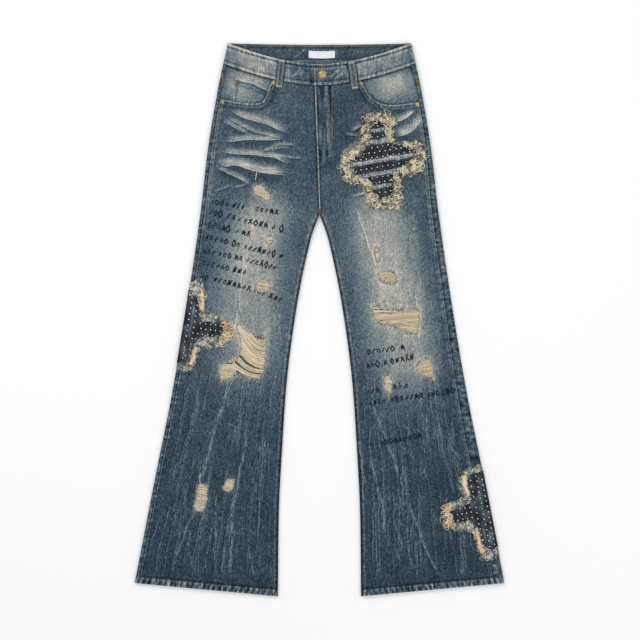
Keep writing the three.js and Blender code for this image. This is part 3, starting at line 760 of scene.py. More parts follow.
# Creases left by the wash: thin pale lines. (points, gain)
CREASES = [
    ([(-186, -156), (-208, -227), (-227, -299), (-229, -312)], 0.26),
    ([(-160, 13), (-163, -3)], 0.30),
    ([(-186, -156), (-166, -114)], 0.14),
    ([(-248, -375), (-260, -406), (-278, -463), (-292, -498)], 0.22),
    ([(-136, -190), (-145, -256), (-155, -295), (-163, -344), (-171, -373), (-173, -506)], 0.24),
    ([(-200, -330), (-203, -367), (-200, -406), (-206, -506)], 0.20),
    ([(-206, -394), (-220, -455), (-220, -498)], 0.18),
    ([(-254, -449), (-245, -488)], 0.18),
    ([(-159, -394), (-145, -410)], 0.16),
    ([(-134, -406), (-126, -420)], 0.14),
    ([(-136, -447), (-128, -498)], 0.16),
    ([(-270, -316), (-288, -381)], 0.14),
    ([(-311, -381), (-331, -443)], 0.14),
    ([(69, 224), (90, 160), (114, 93)], 0.18),
    ([(93, -234), (109, -314), (124, -363), (126, -433)], 0.22),
    ([(95, -149), (106, -176), (124, -215), (134, -248), (159, -314), (171, -353)], 0.24),
    ([(171, -353), (196, -414), (215, -468), (239, -506)], 0.24),
    ([(147, -398), (163, -449)], 0.18),
    ([(169, -426), (180, -488)], 0.18),
    ([(251, -234), (260, -344)], 0.16),
    ([(161, -248), (188, -272)], 0.16),
    ([(253, -246), (278, -273)], 0.16),
    ([(215, -367), (237, -402)], 0.16),
    ([(274, -414), (280, -502)], 0.16),
    ([(208, -153), (210, -248)], 0.14),
    ([(147, -176), (153, -209)], 0.16),
    ([(68, -190), (78, -262), (92, -330)], 0.16),
    ([(232, -196), (240, -236)], 0.16),
    ([(186, 60), (196, -40)], 0.14),
    ([(-150, 110), (-156, 40), (-152, 10)], 0.14),
]

# Rubbed patches of short pale flecks along the warp. (centre, half width, half height, gain)
RUBBED = [
    ((-214, -222), 6, 26, 0.11),
    ((-171, -220), 9, 18, 0.10),
    ((-149, -192), 3, 8, 0.10),
    ((201, -290), 7, 20, 0.11),
    ((170, -346), 4, 32, 0.11),
    ((152, -376), 3.5, 28, 0.10),
    ((200, -359), 3, 19, 0.09),
    ((184, 156), 9, 46, 0.09),
    ((118, -210), 5, 28, 0.07),
]

FINE_CREASES = 180


def fine_creases(rng):
    """Short creases that run down the legs, some pale and some dark, and the rubbed patches' flecks."""
    made = []
    for (cx, cy), half_width, half_height, gain in RUBBED:
        for _ in range(int(half_width * half_height / 5)):
            x = cx + rng.uniform(-half_width, half_width)
            y = cy + rng.uniform(-half_height, half_height)
            size = rng.uniform(2, 7)
            made.append((np.array([(x, y + size), (x + rng.uniform(-1.5, 1.5), y - size)]), gain))
    t = np.linspace(0, 1, 5)
    for _ in range(FINE_CREASES):
        side = rng.choice([-1, 1])
        y = rng.uniform(-440, -80)
        share = rng.uniform(0.06, 0.95)
        ys = np.linspace(y, max(y - rng.uniform(50, 250), -505), 5)
        drift = rng.uniform(-4, 12) * side * -1
        xs = lerp(inner_edge(ys), outer_edge(ys) - 20, share) + drift * t + rng.uniform(-3, 3) * np.sin(t * 5)
        made.append((np.column_stack([side * xs, ys]), rng.choice([0.16, 0.12, 0.08, -0.06])))
    return made


FINE = fine_creases(np.random.default_rng(SEED))


# How far the whole of the front has faded, as (y, fade).
BASE_FADE = [(-540, 0.225), (-430, 0.255), (-300, 0.27), (-200, 0.295), (-100, 0.335), (60, 0.375),
             (230, 0.385), (300, 0.365), (520, 0.385)]


def lattice(x, y, seed):
    """A random value for each whole-numbered cell, the same on every run."""
    cell = np.floor(x) * 157.31 + np.floor(y) * 113.97 + seed * 71.7
    return np.modf(np.abs(np.sin(cell) * 43758.5453))[0]


def soft_noise(x, y, size, seed):
    """Smooth value noise with features of about `size`, from -1 to 1."""
    u, v = x / size, y / size
    fu, fv = u - np.floor(u), v - np.floor(v)
    fu, fv = fu * fu * (3 - 2 * fu), fv * fv * (3 - 2 * fv)
    low = lerp(lattice(u, v, seed), lattice(u + 1, v, seed), fu)
    high = lerp(lattice(u, v + 1, seed), lattice(u + 1, v + 1, seed), fu)
    return 2 * lerp(low, high, fv) - 1


def roping(along, length, seed=3):
    """The uneven puckers of a seam that has shrunk, as a swing of -1 to 1 along it."""
    bent = along + 2.2 * soft_noise(along, along * 0 + seed, 19, seed)
    wave = np.sin(2 * math.pi * bent / length)
    return np.clip(1.5 * wave, -1, 1) * (0.75 + 0.25 * soft_noise(along, along * 0, 31, seed + 4))


POCKET_MOUTH = {
    -1: [(-89, 466), (-95, 460), (-100, 447), (-104, 433), (-111, 423), (-125, 420), (-148, 421),
         (-172, 425), (-190, 429)],
    1: [(80, 464), (85, 456), (93, 442), (104, 429), (119, 420), (139, 417), (165, 419), (196, 424)],
}
FLY_STITCH = [(30, 452), (29.5, 345), (27, 325), (20, 311), (6, 298)]


def front_fade_and_shade(x, y):
    """How far the front's indigo has washed out, from 0, raw, to 1, white, less a painted shadow under each
    whisker.
    """
    fade_and_shade = np.interp(y, *np.transpose(BASE_FADE))
    for side, stations in GLOW.items():
        ys, middles, widths, gains = np.array(stations, float).T
        across = np.abs(x - np.interp(y, ys, middles)) / np.interp(y, ys, widths)
        ragged = 1 + 0.10 * soft_noise(x, y * 0.25, 11, 9) + 0.08 * soft_noise(x, y * 0.12, 4, 10)
        fade_and_shade = fade_and_shade + np.interp(y, ys, gains) * bell(across, 1, 3) * ragged * (x * side > 0)
    for start, end, width, gain in SHADES:
        distance = near(x, y, [start, end])[0]
        fade_and_shade = fade_and_shade + gain * bell(distance, width, 2.6)
    pale = np.zeros(np.shape(x))
    for line, width, gain, _ in WHISKERS:
        line = smooth_line(line)
        streaks = 1 + 0.3 * soft_noise(x * 0.2, y, 3.6, 12)
        body = line + np.array([0, 0.42 * width])
        pale = np.maximum(pale, 1.5 * gain * stroke(x, y, body, width * 0.75, width * 0.5, 0.22) * streaks)
        # A painted shadow line just under each whisker's sharp lower edge.
        whisker_shadow = line - np.array([0, 0.35 * width + 2])
        fade_and_shade = fade_and_shade - 0.34 * gain * stroke(x, y, whisker_shadow, width * 0.4 + 1, width * 0.9, 0.25)
    fade_and_shade = fade_and_shade + pale
    for line, gain in CREASES:
        fade_and_shade = fade_and_shade + 0.3 * gain * stroke(x, y, smooth_line(line), 3.2, 3.2, 0.12)
    streak = soft_noise(x, y * 0.06, 3.4, 5) + 0.6 * soft_noise(x, y * 0.05, 9, 6)
    return fade_and_shade + 0.020 * streak + 0.02 * soft_noise(x, y, 30, 8)


def crease_layers(x, y):
    """Signed distance from the nearest fine crease, and how strong that crease is there."""
    nearest = np.full(np.shape(x), 9.0)
    crisp = np.zeros(np.shape(x))
    bent = x + 1.8 * soft_noise(x * 0.3, y, 24, 41) + 0.7 * soft_noise(x * 0.3, y, 8, 42)
    edges = [(line, 0.85 * gain) for line, _, gain, _ in WHISKERS]
    for line, gain in [*edges, *CREASES, *FINE]:
        line = smooth_line(line) if len(line) > 2 else np.array(line, float)
        at = close_to(x, y, line, 8)
        distance, side, along = near(bent[at], y[at], line)
        closer = distance < np.abs(nearest[at])
        nearest[at] = np.where(closer, side * distance, nearest[at])
        fresh = 1.5 * gain * fading_ends(line, along, 0.15) * (1 - ease(4, 7, distance))
        crisp[at] = np.where(closer, fresh, crisp[at])
    return nearest, crisp


def front_relief(x, y):
    """Folds and creases that stand up from the front's flat skin."""
    height = np.zeros(np.shape(x))
    for line, width, _, crest in WHISKERS:
        height = height + crest * stroke(x, y, smooth_line(line) + [0, 0.3 * width], width, width * 0.7)
    for line, gain in CREASES:
        height = height + 2.0 * gain * stroke(x, y, smooth_line(line), 3, 3, 0.12)
    height = height + 0.25 * soft_noise(x, y, 44, 21) + 0.12 * soft_noise(x, y, 17, 22)
    calm = ease(3, 14, from_edge(x, y)) * ease(1, 12, front_band_foot(x) - y)
    return height * calm * ease(HEM_DEPTH, HEM_DEPTH + 12, y - hem_line(x))


def hem_look(x, y):
    """(fade and painted shade, height, pucker) that the turned and roped hem adds."""
    up = y - hem_line(x)
    rope = roping(np.abs(x) + 0.5 * up, 10.5)
    inside = 1 - ease(HEM_DEPTH - 1.5, HEM_DEPTH + 0.5, up)
    edge = bell(up, 1.6)
    crease = bell(up - HEM_DEPTH - 1, 2.2)
    ridge = bell(up - HEM_DEPTH + 2.5, 1.6)
    # The crease above the hem's top fold is painted shade.
    fade_and_shade = inside * (0.22 * rope + 0.10) + 0.14 * edge - 0.18 * crease + 0.16 * ridge
    return fade_and_shade, inside * 0.28 * rope, 0.62 * inside + 0.12 * (1 - ease(14, 34, up))


def inseam_look(x, y):
    """(fade and painted shade, height, pucker) of the felled seam that runs beside the inside edge of a leg.
    """
    away = np.abs(x) - inner_edge(y)
    on_leg = 1 - ease(CROTCH_Y - 4, CROTCH_Y + 4, y)
    line = bell(away - 7, 1.3)
    # The leg's inside edge is darkened as painted shade, where the cloth turns down over it.
    edge = 1 - ease(1, 5.5, away)
    pucker = -0.30 * on_leg * (1 - ease(6, 13, away))
    return on_leg * (0.20 * line - 0.24 * edge), on_leg * 0.2 * line, pucker


def mouth_look(side, x, y):
    """(fade and painted shade, height, pucker) of the doubled, twice stitched edge of a front pocket's mouth.
    """
    distance, _, along = near(x, y, smooth_line(POCKET_MOUTH[side]))
    rope = roping(along, 8.5, 17)
    edge = bell(distance, 1.5)
    band = 1 - ease(7.5, 10, distance)
    # Painted shade: the dark strip beyond the doubled edge, where it steps down, and the groove between its
    # rows of stitches.
    outside = bell(distance - 12, 3.5)
    groove_shade = bell(distance - 4.6, 1.3)
    fade_and_shade = 0.42 * edge - 0.16 * groove_shade + band * 0.08 * rope - 0.16 * outside
    return fade_and_shade, band * (0.45 + 0.15 * rope), 0.34 * band


def fly_look(side, x, y):
    """(fade and painted shade, height, pucker) along the fly: its bright edge, and the crumpled placket
    beside it.
    """
    above = ease(CROTCH_Y - 6, CROTCH_Y + 4, y)
    away = x - fly_edge(y)
    if side < 0:
        # The right front gets a painted shadow where the fly laps over it.
        return above * (-0.30 * bell(away, 2.6)), 0 * x, 0 * x
    edge = bell(away - 0.6, 1.3)
    placket = ease(2, 5, away) * (1 - ease(33, 37, away)) * ease(300, 330, y + 0.6 * away)
    streak = soft_noise(x, y * 0.10, 3.2, 31) + 0.7 * soft_noise(x, y * 0.16, 6.5, 32)
    stitched = near(x, y, smooth_line(FLY_STITCH))[0]
    line = bell(stitched, 2.4)
    # A painted shade line in the groove beside the fly's edge.
    groove_shade = bell(away - 4.2, 1.7)
    fade_and_shade = above * (0.50 * edge - 0.16 * groove_shade) + placket * (0.27 * streak - 0.06) - 0.12 * line
    return fade_and_shade, placket * 0.35 * streak, 0 * x


def side_look(side, x, y):
    """(fade, height, pucker) on the front panel along the side seam: pale lines, then a shadow."""
    away = outer_edge(y) - seam_inset(side, y) - np.abs(x)
    line = bell(away - 2.2, 1.1)
    second = bell(away - 6.2, 1.2) * (1 if side > 0 else ease(190, 260, y))
    fade_and_shade = 0.34 * line + 0.20 * second - 0.40 * bell(away, 1.0) - 0.10 * bell(away - 4.2, 1.2)
    return fade_and_shade, 0.3 * line, -0.30 * (1 - ease(5, 14, away))


def front_look(side, x, y):
    fade_and_shade, height, pucker = front_fade_and_shade(x, y), front_relief(x, y), 0
    for add_fade_and_shade, add_height, add_pucker in (
        hem_look(x, y),
        inseam_look(x, y),
        mouth_look(side, x, y),
        fly_look(side, x, y),
        side_look(side, x, y),
    ):
        fade_and_shade, height, pucker = fade_and_shade + add_fade_and_shade, height + add_height, pucker + add_pucker
    return fade_and_shade, height, pucker


def fly_drop(x, y, depth):
    """The right front sinks below the fly that laps over it."""
    return depth * ease(-14, -3, x - fly_edge(y)) * ease(CROTCH_Y, 226, y)


def front_skin(side, x, y):
    drop = 0 if side > 0 else fly_drop(x, y, DENIM + 2 * GAP)
    return skin(x, y, 1) - drop


def front_height(x, y, lift=0.0):
    """Height of the finished front, folds and all, for what lies on it."""
    x, y = np.asarray(x, float), np.asarray(y, float)
    right = front_skin(-1, x, y) + front_look(-1, x, y)[1]
    left = front_skin(1, x, y) + front_look(1, x, y)[1]
    return np.where(x < fly_edge(y), right, left) + lift


# ------------------------------------------------------------------ grids
ROUND = np.array([0, 0.45, 1.1, 2.1, FOLD_RADIUS])
FIXED = len(ROUND) - 1


def column_rows(count, column_at, low, high, shares):
    """A grid of rows between two lines. column_at(y) gives every column's x for one column of y."""
    x = np.zeros((len(shares), count))
    share = np.asarray(shares)[:, None]
    for _ in range(5):
        y = low(x) + (high(x) - low(x)) * share
        x = np.hstack([column_at(y[:, j : j + 1])[:, j : j + 1] for j in range(count)])
    return x, y


def front_inside(side, y):
    above = fly_edge(y) if side > 0 else underlap(y, 8)
    return np.where(y < CROTCH_Y, side * np.maximum(inner_edge(y), GAP / 2), above)


def front_outside(side, y):
    return side * (outer_edge(y) - seam_inset(side, y) - GAP / 2)


# ------------------------------------------------------------------ rips
RIPS = {
    -1: [
        [(-126, 262), (-112, 263), (-95, 242), (-95, 230), (-112, 236), (-130, 247)],
        [(-105, 163), (-92, 165), (-90, 147), (-103, 145)],
        [(-128, 62), (-118, 77), (-100, 80), (-95, 66), (-100, 55), (-120, 54)],
        [(-160, -3), (-148, -16), (-136, -26), (-108, -34), (-101, -19), (-104, -50), (-105, -88),
         (-114, -112), (-122, -117), (-145, -110), (-167, -106), (-176, -116), (-191, -122),
         (-195, -106), (-191, -87), (-174, -82), (-159, -75), (-151, -62), (-153, -31), (-162, -23)],
        [(-235, -320), (-218, -322), (-219, -348), (-227, -373), (-245, -371), (-241, -346)],
        [(-184, -318), (-177, -310), (-165, -310), (-169, -335), (-182, -334), (-189, -330)],
    ],
    1: [
        [(108, 142), (114, 144), (118, 128), (116, 111), (110, 113), (107, 128)],
        [(114, 93), (134, 95), (149, 91), (153, 68), (120, 71), (116, 81)],
        [(102, 30), (118, 27), (138, 21), (167, 21), (196, 23), (194, -5), (191, -27), (176, -26),
         (147, -14), (118, -7), (104, 2)],
        [(190, -80), (215, -72), (219, -82), (224, -112), (204, -109), (190, -106)],
        [(124, -110), (139, -108), (141, -125), (138, -143), (130, -139), (126, -129)],
    ],
}
# How each rip's threads lean, in degrees up to the right.
LEANS = {-1: [-24, -8, -10, 0, -6, -6], 1: [4, 6, 5, 12, 8]}
BIG_KNEE = (-1, 3)
FRINGED = {(1, 1): 1.0, (1, 2): 1.6, (1, 3): 1.2, (-1, 3): 0.8}


def torn_rips(side):
    rng = np.random.default_rng(SEED + 10 + side)
    return [torn(outline, rng) for outline in RIPS[side]]


def rip_glow(side, x, y):
    """The cloth round a rip is rubbed paler."""
    made = np.zeros(np.shape(x))
    for outline in RIPS[side]:
        distance = near(x, y, [*outline, outline[0]])[0]
        made = np.maximum(made, 0.16 * bell(distance, 5))
    return made


# ------------------------------------------------------------------ panels
FRONT_CELL = 2.6
# The share of the rows below each height, closer together at the hem, the knees and the hips.
FRONT_ROWS = 372
ROW_SHARES, HEIGHT_SHARES = (0, 0.055, 0.35, 0.66, 1), (0, 0.035, 0.40, 0.68, 1)
FRONT_COLUMNS = 86
NEAR_INSIDE = np.array([*ROUND, 4.8, 6.2, 7.6, 9.2])
NEAR_OUTSIDE = np.array([8.2, 6.6, 5.2, 3.8, 2.6, 1.4, 0.6, 0])


def front_panel(side, name):
    spread = np.linspace(0, 1, FRONT_COLUMNS)

    def column_at(y):
        y = y[:, :1]
        inside, outside = front_inside(side, y), front_outside(side, y)
        near_inside, near_outside = inside + side * NEAR_INSIDE, outside - side * NEAR_OUTSIDE
        middle = lerp(near_inside[:, -1:], near_outside[:, :1], spread[1:-1])
        return np.hstack([near_inside, middle, near_outside])

    count = len(NEAR_INSIDE) + len(NEAR_OUTSIDE) + FRONT_COLUMNS - 2
    top = lambda at: front_band_foot(at) - GAP
    shares = np.interp(np.linspace(0, 1, FRONT_ROWS), ROW_SHARES, HEIGHT_SHARES)
    x, y = column_rows(count, column_at, hem_line, top, shares)
    mouth = [*smooth_line(POCKET_MOUTH[side]), (side * 250, 426), (side * 250, 530), (side * 80, 530)]
    kept = trim(x, y, mouth, FRONT_CELL, keep_inside=False)
    for outline in torn_rips(side):
        kept &= trim(x, y, outline, FRONT_CELL, keep_inside=False)
    fade_and_shade, height, pucker = front_look(side, x, y)
    crease, crisp = crease_layers(x, y)
    look = {"Fade": fade_and_shade + rip_glow(side, x, y), "Pucker": pucker, "Crease": crease, "Crisp": crisp}
    points = xyz(x, y, front_skin(side, x, y) + height)
    cloth(name, points, look, DENIM, "denim", (285, 1015), kept=kept)


UNDER_COLUMNS = 22
STRIP_COLUMNS = 7


def back_columns(side):
    """(how many, their x at y, which face each is on): under the leg and round to the side seam."""
    spread = np.linspace(0, 1, UNDER_COLUMNS)
    over = np.linspace(0, 1, STRIP_COLUMNS + 1)[1:]
    rounded = side * ROUND
    face = np.repeat([-1, 1], [2 * FIXED + UNDER_COLUMNS, FIXED + 1 + STRIP_COLUMNS])

    def column_at(y):
        y = y[:, :1]
        inside = side * np.maximum(np.where(y < CROTCH_Y, inner_edge(y), 0), GAP / 2)
        edge = side * outer_edge(y)
        seam = edge - side * (seam_inset(side, y) - GAP / 2)
        return np.hstack([
            inside + rounded[:-1],
            lerp(inside + side * FOLD_RADIUS, edge - side * FOLD_RADIUS, spread),
            edge - rounded[-2::-1],
            edge - rounded,
            lerp(edge - side * FOLD_RADIUS, seam, over),
        ])

    return len(face), column_at, face


BACK_CREASES = [
    ([(60, 20), (120, 8), (190, 14)], 4, 0.14),
    ([(70, -22), (140, -30), (220, -18)], 4, 0.13),
    ([(75, -60), (150, -52), (225, -66)], 4, 0.10),
    ([(20, 215), (70, 196), (140, 190)], 5, 0.14),
    ([(26, 180), (80, 166), (150, 168)], 4, 0.12),
    ([(120, -150), (130, -260), (150, -360)], 3, 0.10),
    ([(210, -130), (230, -250), (260, -400)], 3, 0.10),
]


BACK_POCKET = {"x": 108, "top": 388, "width": 142, "side": 118, "point": 150, "thick": 1.2}
POCKET_TURN = 0.06
HALF_POCKET = BACK_POCKET["width"] / 2
POCKET_OUTLINE = [
    (-HALF_POCKET, 0), (HALF_POCKET, 0), (HALF_POCKET - 8, -BACK_POCKET["side"]), (0, -BACK_POCKET["point"]),
    (8 - HALF_POCKET, -BACK_POCKET["side"]), (-HALF_POCKET, 0),
]


def pocket_frame(side, u, v):
    """A back pocket's own plan, u across and v up from its mouth, set in the garment."""
    turn = side * POCKET_TURN
    x = side * BACK_POCKET["x"] + u * math.cos(turn) - v * math.sin(turn)
    return x, BACK_POCKET["top"] + u * math.sin(turn) + v * math.cos(turn)


def pocket_plan(side, x, y):
    """The way back: where a point of the garment is in the pocket's own plan."""
    turn = side * POCKET_TURN
    x, y = x - side * BACK_POCKET["x"], y - BACK_POCKET["top"]
    return x * math.cos(turn) + y * math.sin(turn), y * math.cos(turn) - x * math.sin(turn)


def back_look(side, x, y, face):
    """(fade and painted shade, height, pucker) of the back, and of the strip of it that comes round to the
    front.
    """
    across = np.abs(x)
    under = 0.30 + 0.09 * ease(-190, 40, y)
    under = under + 0.20 * bell(across - 110, 75) * bell(y - 300, 120)
    under = under + 0.13 * bell(across - 150, 60) * bell(y + 40, 190)
    for line, width, gain in BACK_CREASES:
        under = under + gain * stroke(across, y + 3 * side, smooth_line(line), width, width)
    under = under + 0.03 * soft_noise(x, y * 0.06, 3.4, 51) + 0.04 * soft_noise(x, y, 40, 52)
    seat = ease(CROTCH_Y, CROTCH_Y + 20, y)
    # Pale stitch lines beside the seat's centre seam, with painted shade in the seam's groove.
    under = under + seat * (0.26 * bell(across - 4.6, 1.6) - 0.10 * bell(across, 9))
    under = under - seat * 0.22 * bell(across, 1.8)
    above = y - yoke_seam(x)
    # Along the yoke seam: a painted shade line just below it, and pale stitched ridges above.
    under = under + 0.30 * bell(above - 3, 1.9) - 0.24 * bell(above + 2, 2.6) + 0.15 * bell(above - 8.4, 1.8)
    under = under + 0.12 * roping(x, 11, 64) * bell(above - 5, 5)
    inseam = np.where(y < CROTCH_Y, across - inner_edge(y), 99)
    # Painted shade where the cloth turns over the leg's inside edge, beside a pale stitch line.
    under = under + 0.20 * bell(inseam - 6, 1.6) - 0.18 * bell(inseam, 3.5)
    pocket = near(*pocket_plan(side, x, y), POCKET_OUTLINE)[0]
    # A painted shadow round each back pocket.
    under = under - 0.24 * bell(pocket, 5)
    away = outer_edge(y) - across
    inset = seam_inset(side, y)
    share = np.clip(away / inset, 0, 1)
    rope = roping(y + 0.8 * away, 13.5, 61 + side)
    mottle = soft_noise(x, y, 6, 63)
    # On the strip round the side: painted shade at the side seam and where the cloth turns over the leg's
    # edge.
    over = 0.33 + 0.05 * rope + 0.05 * mottle - 0.16 * ease(0.86, 1.0, share)
    over = over + 0.10 * bell(share - 0.55, 0.16) - 0.10 * (1 - ease(0, 0.2, share))
    if side > 0:
        over = over - 0.22 * bell(y + 272, 8, 4)
    hem_fade_and_shade, hem_height, hem_pucker = hem_look(x, y)
    height = np.where(face > 0, (0.28 * rope + hem_height) * ease(2, 7, away), 0)
    return np.where(face > 0, over, under) + hem_fade_and_shade, height, np.where(face > 0, -0.5, 0) + hem_pucker


def back_piece(side, name, low, high, rows, flat):
    count, column_at, face = back_columns(side)
    x, y = column_rows(
        count, column_at, lambda at: low(at, face), lambda at: high(at, face), np.linspace(0, 1, rows)
    )
    fade_and_shade, height, pucker = back_look(side, x, y, face)
    look = {"Fade": fade_and_shade, "Pucker": pucker}
    cloth(name, xyz(x, y, skin(x, y, face) + height), look, DENIM, "denim", flat, down=True)


def back_band_line(x, face):
    return np.where(face > 0, front_band_foot(x), back_band_foot(x)) - GAP


def back_panel(side, name):
    top = lambda x, face: yoke_seam(x) - GAP / 2
    back_piece(side, name, lambda x, face: hem_line(x), top, 236, (310, 955))


def back_yoke(side, name):
    foot = lambda x, face: yoke_seam(x) + GAP / 2
    back_piece(side, name, foot, back_band_line, 34, (215, 95))


# ------------------------------------------------------------------ patches cut from a flat grid
def patch(name, outline, place, look_at, wall, made_of, flat, on=(), step=2.0, down=False, folded=False):
    """A piece cut to an outline in plan. place(u, v) gives points, and look_at(u, v) their fade, with painted
    shade on most pieces.
    folded is for a plan that wraps round a leg's edge at u = 0."""
    outline = np.array(outline, float)
    low, high = outline.min(0) - 1.5 * step, outline.max(0) + 1.5 * step
    across, up = (np.linspace(a, b, max(3, int((b - a) / step) + 1)) for a, b in zip(low, high))
    if folded:
        flat_parts = [np.arange(FOLD_RADIUS, end, step) for end in (-low[0], high[0])]
        across = np.concatenate([-flat_parts[0][::-1], -ROUND[-2::-1], ROUND[1:-1], flat_parts[1]])
    u, v = np.meshgrid(across, up)
    kept = trim(u, v, outline, step * 1.15, keep_inside=True)
    cloth(name, place(u, v), look_at(u, v), wall, made_of, flat, on, kept, down)


def on_front(lift, side):
    """Places points on the front's skin, `lift` above it."""
    def place(u, v):
        inner = np.clip(u, -outer_edge(v) + 4, outer_edge(v) - 4)
        return xyz(u, v, front_skin(side, inner, v) + lift)

    return place


FACING_FADE = {-1: 0.78, 1: 0.77}
FACING_TOP = {1: -DENIM - GAP, -1: -DENIM - 2 * GAP - 1}


def pocket_facing(side, name):
    """The denim seen inside a front pocket's mouth."""
    reach = side * (60 if side > 0 else 72)
    spread = np.linspace(0, 1, 64)
    x, y = column_rows(
        64,
        lambda at: lerp(reach + 0 * at, front_outside(side, at), spread),
        lambda at: 392 + 0 * at,
        lambda at: front_band_foot(at) - 2 * GAP,
        np.linspace(0, 1, 44),
    )
    distance = near(x, y, smooth_line(POCKET_MOUTH[side]))[0]
    middle = np.hypot((x - side * 142) / 44, (y - 458) / 30)
    fade_and_shade = 0.42 + (FACING_FADE[side] - 0.36) * bell(middle, 1, 2.4) + 0.06 * soft_noise(x, y, 12, 71)
    # Darker along the mouth's edge and under the waistband: painted shade where these overhang the facing.
    fade_and_shade = fade_and_shade - 0.24 * bell(distance, 3.2)
    fade_and_shade = fade_and_shade - 0.12 * (1 - ease(0, 7, front_band_foot(x) - y))
    points = xyz(x, y, front_skin(side, x, y) + FACING_TOP[side])
    points[..., 2] += 0.35 * soft_noise(x, y, 17, 72) - 0.35
    cloth(name, points, fade_and_shade, 1.2, "denim", (150, 120), on=[f"front_panel_{SIDES[side]}"])


COIN_POCKET = [(-164, 470), (-150, 467), (-131, 462), (-100, 448), (-96, 398), (-172, 398)]
COIN_TOP = [(-164, 469), (-130, 461.5), (-101, 447)]


def coin_pocket(name):
    def tone_at(u, v):
        top = near(u, v, COIN_TOP)[0]
        left = near(u, v, [(-164, 469), (-172, 398)])[0]
        fade_and_shade = 0.50 + 0.20 * ease(-112, -150, u) + 0.40 * bell(top, 1.8)
        # Painted shade in the grooves below its pale top edge and beside its left edge.
        fade_and_shade = fade_and_shade - 0.28 * bell(top - 4.5, 1.6) - 0.14 * bell(top - 11, 2.4)
        fade_and_shade = fade_and_shade + 0.10 * bell(left, 2) - 0.2 * bell(left - 5, 2)
        # A painted shadow where it goes under the pocket's mouth.
        mouth = near(u, v, smooth_line(POCKET_MOUTH[-1]))[0]
        return fade_and_shade - 0.26 * bell(mouth, 3.5) + 0.05 * soft_noise(u, v, 9, 73)

    place = on_front(-DENIM - GAP, -1)
    patch(name, COIN_POCKET, place, tone_at, 1.0, "denim", (76, 72), ["pocket_facing_right"], 1.7)


def back_pocket(side, name):
    def place(u, v):
        x, y = pocket_frame(side, u, v)
        return xyz(x, y, 0 * x)

    def tone_at(u, v):
        edge, _, along = near(u, v, POCKET_OUTLINE)
        fade_and_shade = 0.42 + 0.34 * bell(edge - 0.6, 1.9)
        # Painted shade in the grooves beside its pale stitched edges, and below the band at its mouth.
        fade_and_shade = fade_and_shade - 0.14 * bell(edge - 4.6, 1.8) + 0.14 * bell(edge - 8.6, 1.6)
        fade_and_shade = fade_and_shade + 0.08 * roping(along, 11, 75) * (edge < 10) - 0.16 * bell(edge - 13, 3)
        fade_and_shade = fade_and_shade + 0.2 * bell(v + 19, 1.8) - 0.14 * bell(v + 23, 2.4)
        fade_and_shade = fade_and_shade + 0.1 * bell(v + 9, 8) * roping(u, 12, 76) + 0.12 * bell(u, 50) * bell(v + 70, 50)
        return fade_and_shade + 0.04 * soft_noise(u, v, 20, 77)

    flat, on = (BACK_POCKET["width"], BACK_POCKET["point"]), [f"back_panel_{SIDES[side]}"]
    patch(name, POCKET_OUTLINE[:-1], place, tone_at, BACK_POCKET["thick"], "denim", flat, on, 3.1, down=True)


# ------------------------------------------------------------------ waistband
BAND_ROWS = 30
BAND_COLUMNS = 112
BACK_BAND_COLUMNS = 190
BAND_UNDERLAP = 26
EYELET = (6, 476.5)
LOOPS = {"right": ((-73, 504), (-79, 452)), "left": ((62, 501), (69.5, 449))}
SLIT = 17
BAND_CREASES = [
    [(20, 470), (32, 482), (42, 490)],
    [(28, 468), (38, 474), (46, 484)],
    [(-56, 470), (-40, 482)],
]


def band_skin(side, x, y):
    return skin(x, y, 1, BAND_LOFT) - (fly_drop(x, y, BAND + 1.5 * GAP) if side < 0 else 0)


def band_look(x, y):
    """(fade and painted shade, height, pucker) of the front waistband."""
    up = (y - front_band_foot(x)) / BAND_HEIGHT
    low, high = up * BAND_HEIGHT, (1 - up) * BAND_HEIGHT
    across = np.abs(x - 6)
    fade_and_shade = 0.42 + 0.24 * ease(46, 86, across) - 0.14 * ease(150, 172, across)
    fade_and_shade = fade_and_shade + 0.07 * ease(60, 110, -x) - 0.03 * ease(60, 110, x)
    rope = roping(x + 6 * up, 9.5, 81) * (bell(up, 0.16) + bell(up - 1, 0.16))
    blotch = soft_noise(x, y, 13, 82) + 0.6 * soft_noise(x, y, 5.5, 83)
    fade_and_shade = fade_and_shade + 0.09 * rope + (0.07 + 0.06 * (across < 70)) * blotch
    # A pale top edge and stitch ridges, with painted shade in the grooves between them and along the band's
    # foot.
    fade_and_shade = fade_and_shade + 0.42 * bell(high, 1.5) - 0.28 * bell(high - 4.4, 1.9)
    fade_and_shade = fade_and_shade + 0.16 * bell(high - 8.6, 2.0) - 0.46 * bell(low, 1.7)
    fade_and_shade = fade_and_shade + 0.26 * bell(low - 3.8, 1.4) - 0.20 * bell(low - 8.8, 1.8)
    # A painted shadow beside each belt loop.
    for top, foot in LOOPS.values():
        beside = near(x, y, [top, foot])[0]
        fade_and_shade = fade_and_shade - 0.45 * bell(beside - 7.4, 1.5)
    # Pale stitches round the buttonhole, and painted shade inside its slit.
    slit = near(x, y, [EYELET, (EYELET[0] + SLIT, EYELET[1])])[0]
    fade_and_shade = fade_and_shade + 0.22 * bell(slit - 2.4, 1.2) - 0.6 * bell(slit, 0.8)
    for line in BAND_CREASES:
        fade_and_shade = fade_and_shade + 0.3 * stroke(x, y, line, 1.7, 1.7)
    height = 0.28 * rope + 0.22 * blotch - 0.6 * bell(slit, 0.8)
    return fade_and_shade, height, 0.20 + 0.22 * (bell(low, 9) + bell(high, 9))


def band_height(x, y, lift=0.0):
    """Height of the finished front waistband, for what is on it."""
    x, y = np.asarray(x, float), np.asarray(y, float)
    z = np.where(x < fly_edge(y), band_skin(-1, x, y), band_skin(1, x, y))
    return z + band_look(x, y)[1] * ease(1, 5, outer_edge(y) - np.abs(x)) + lift


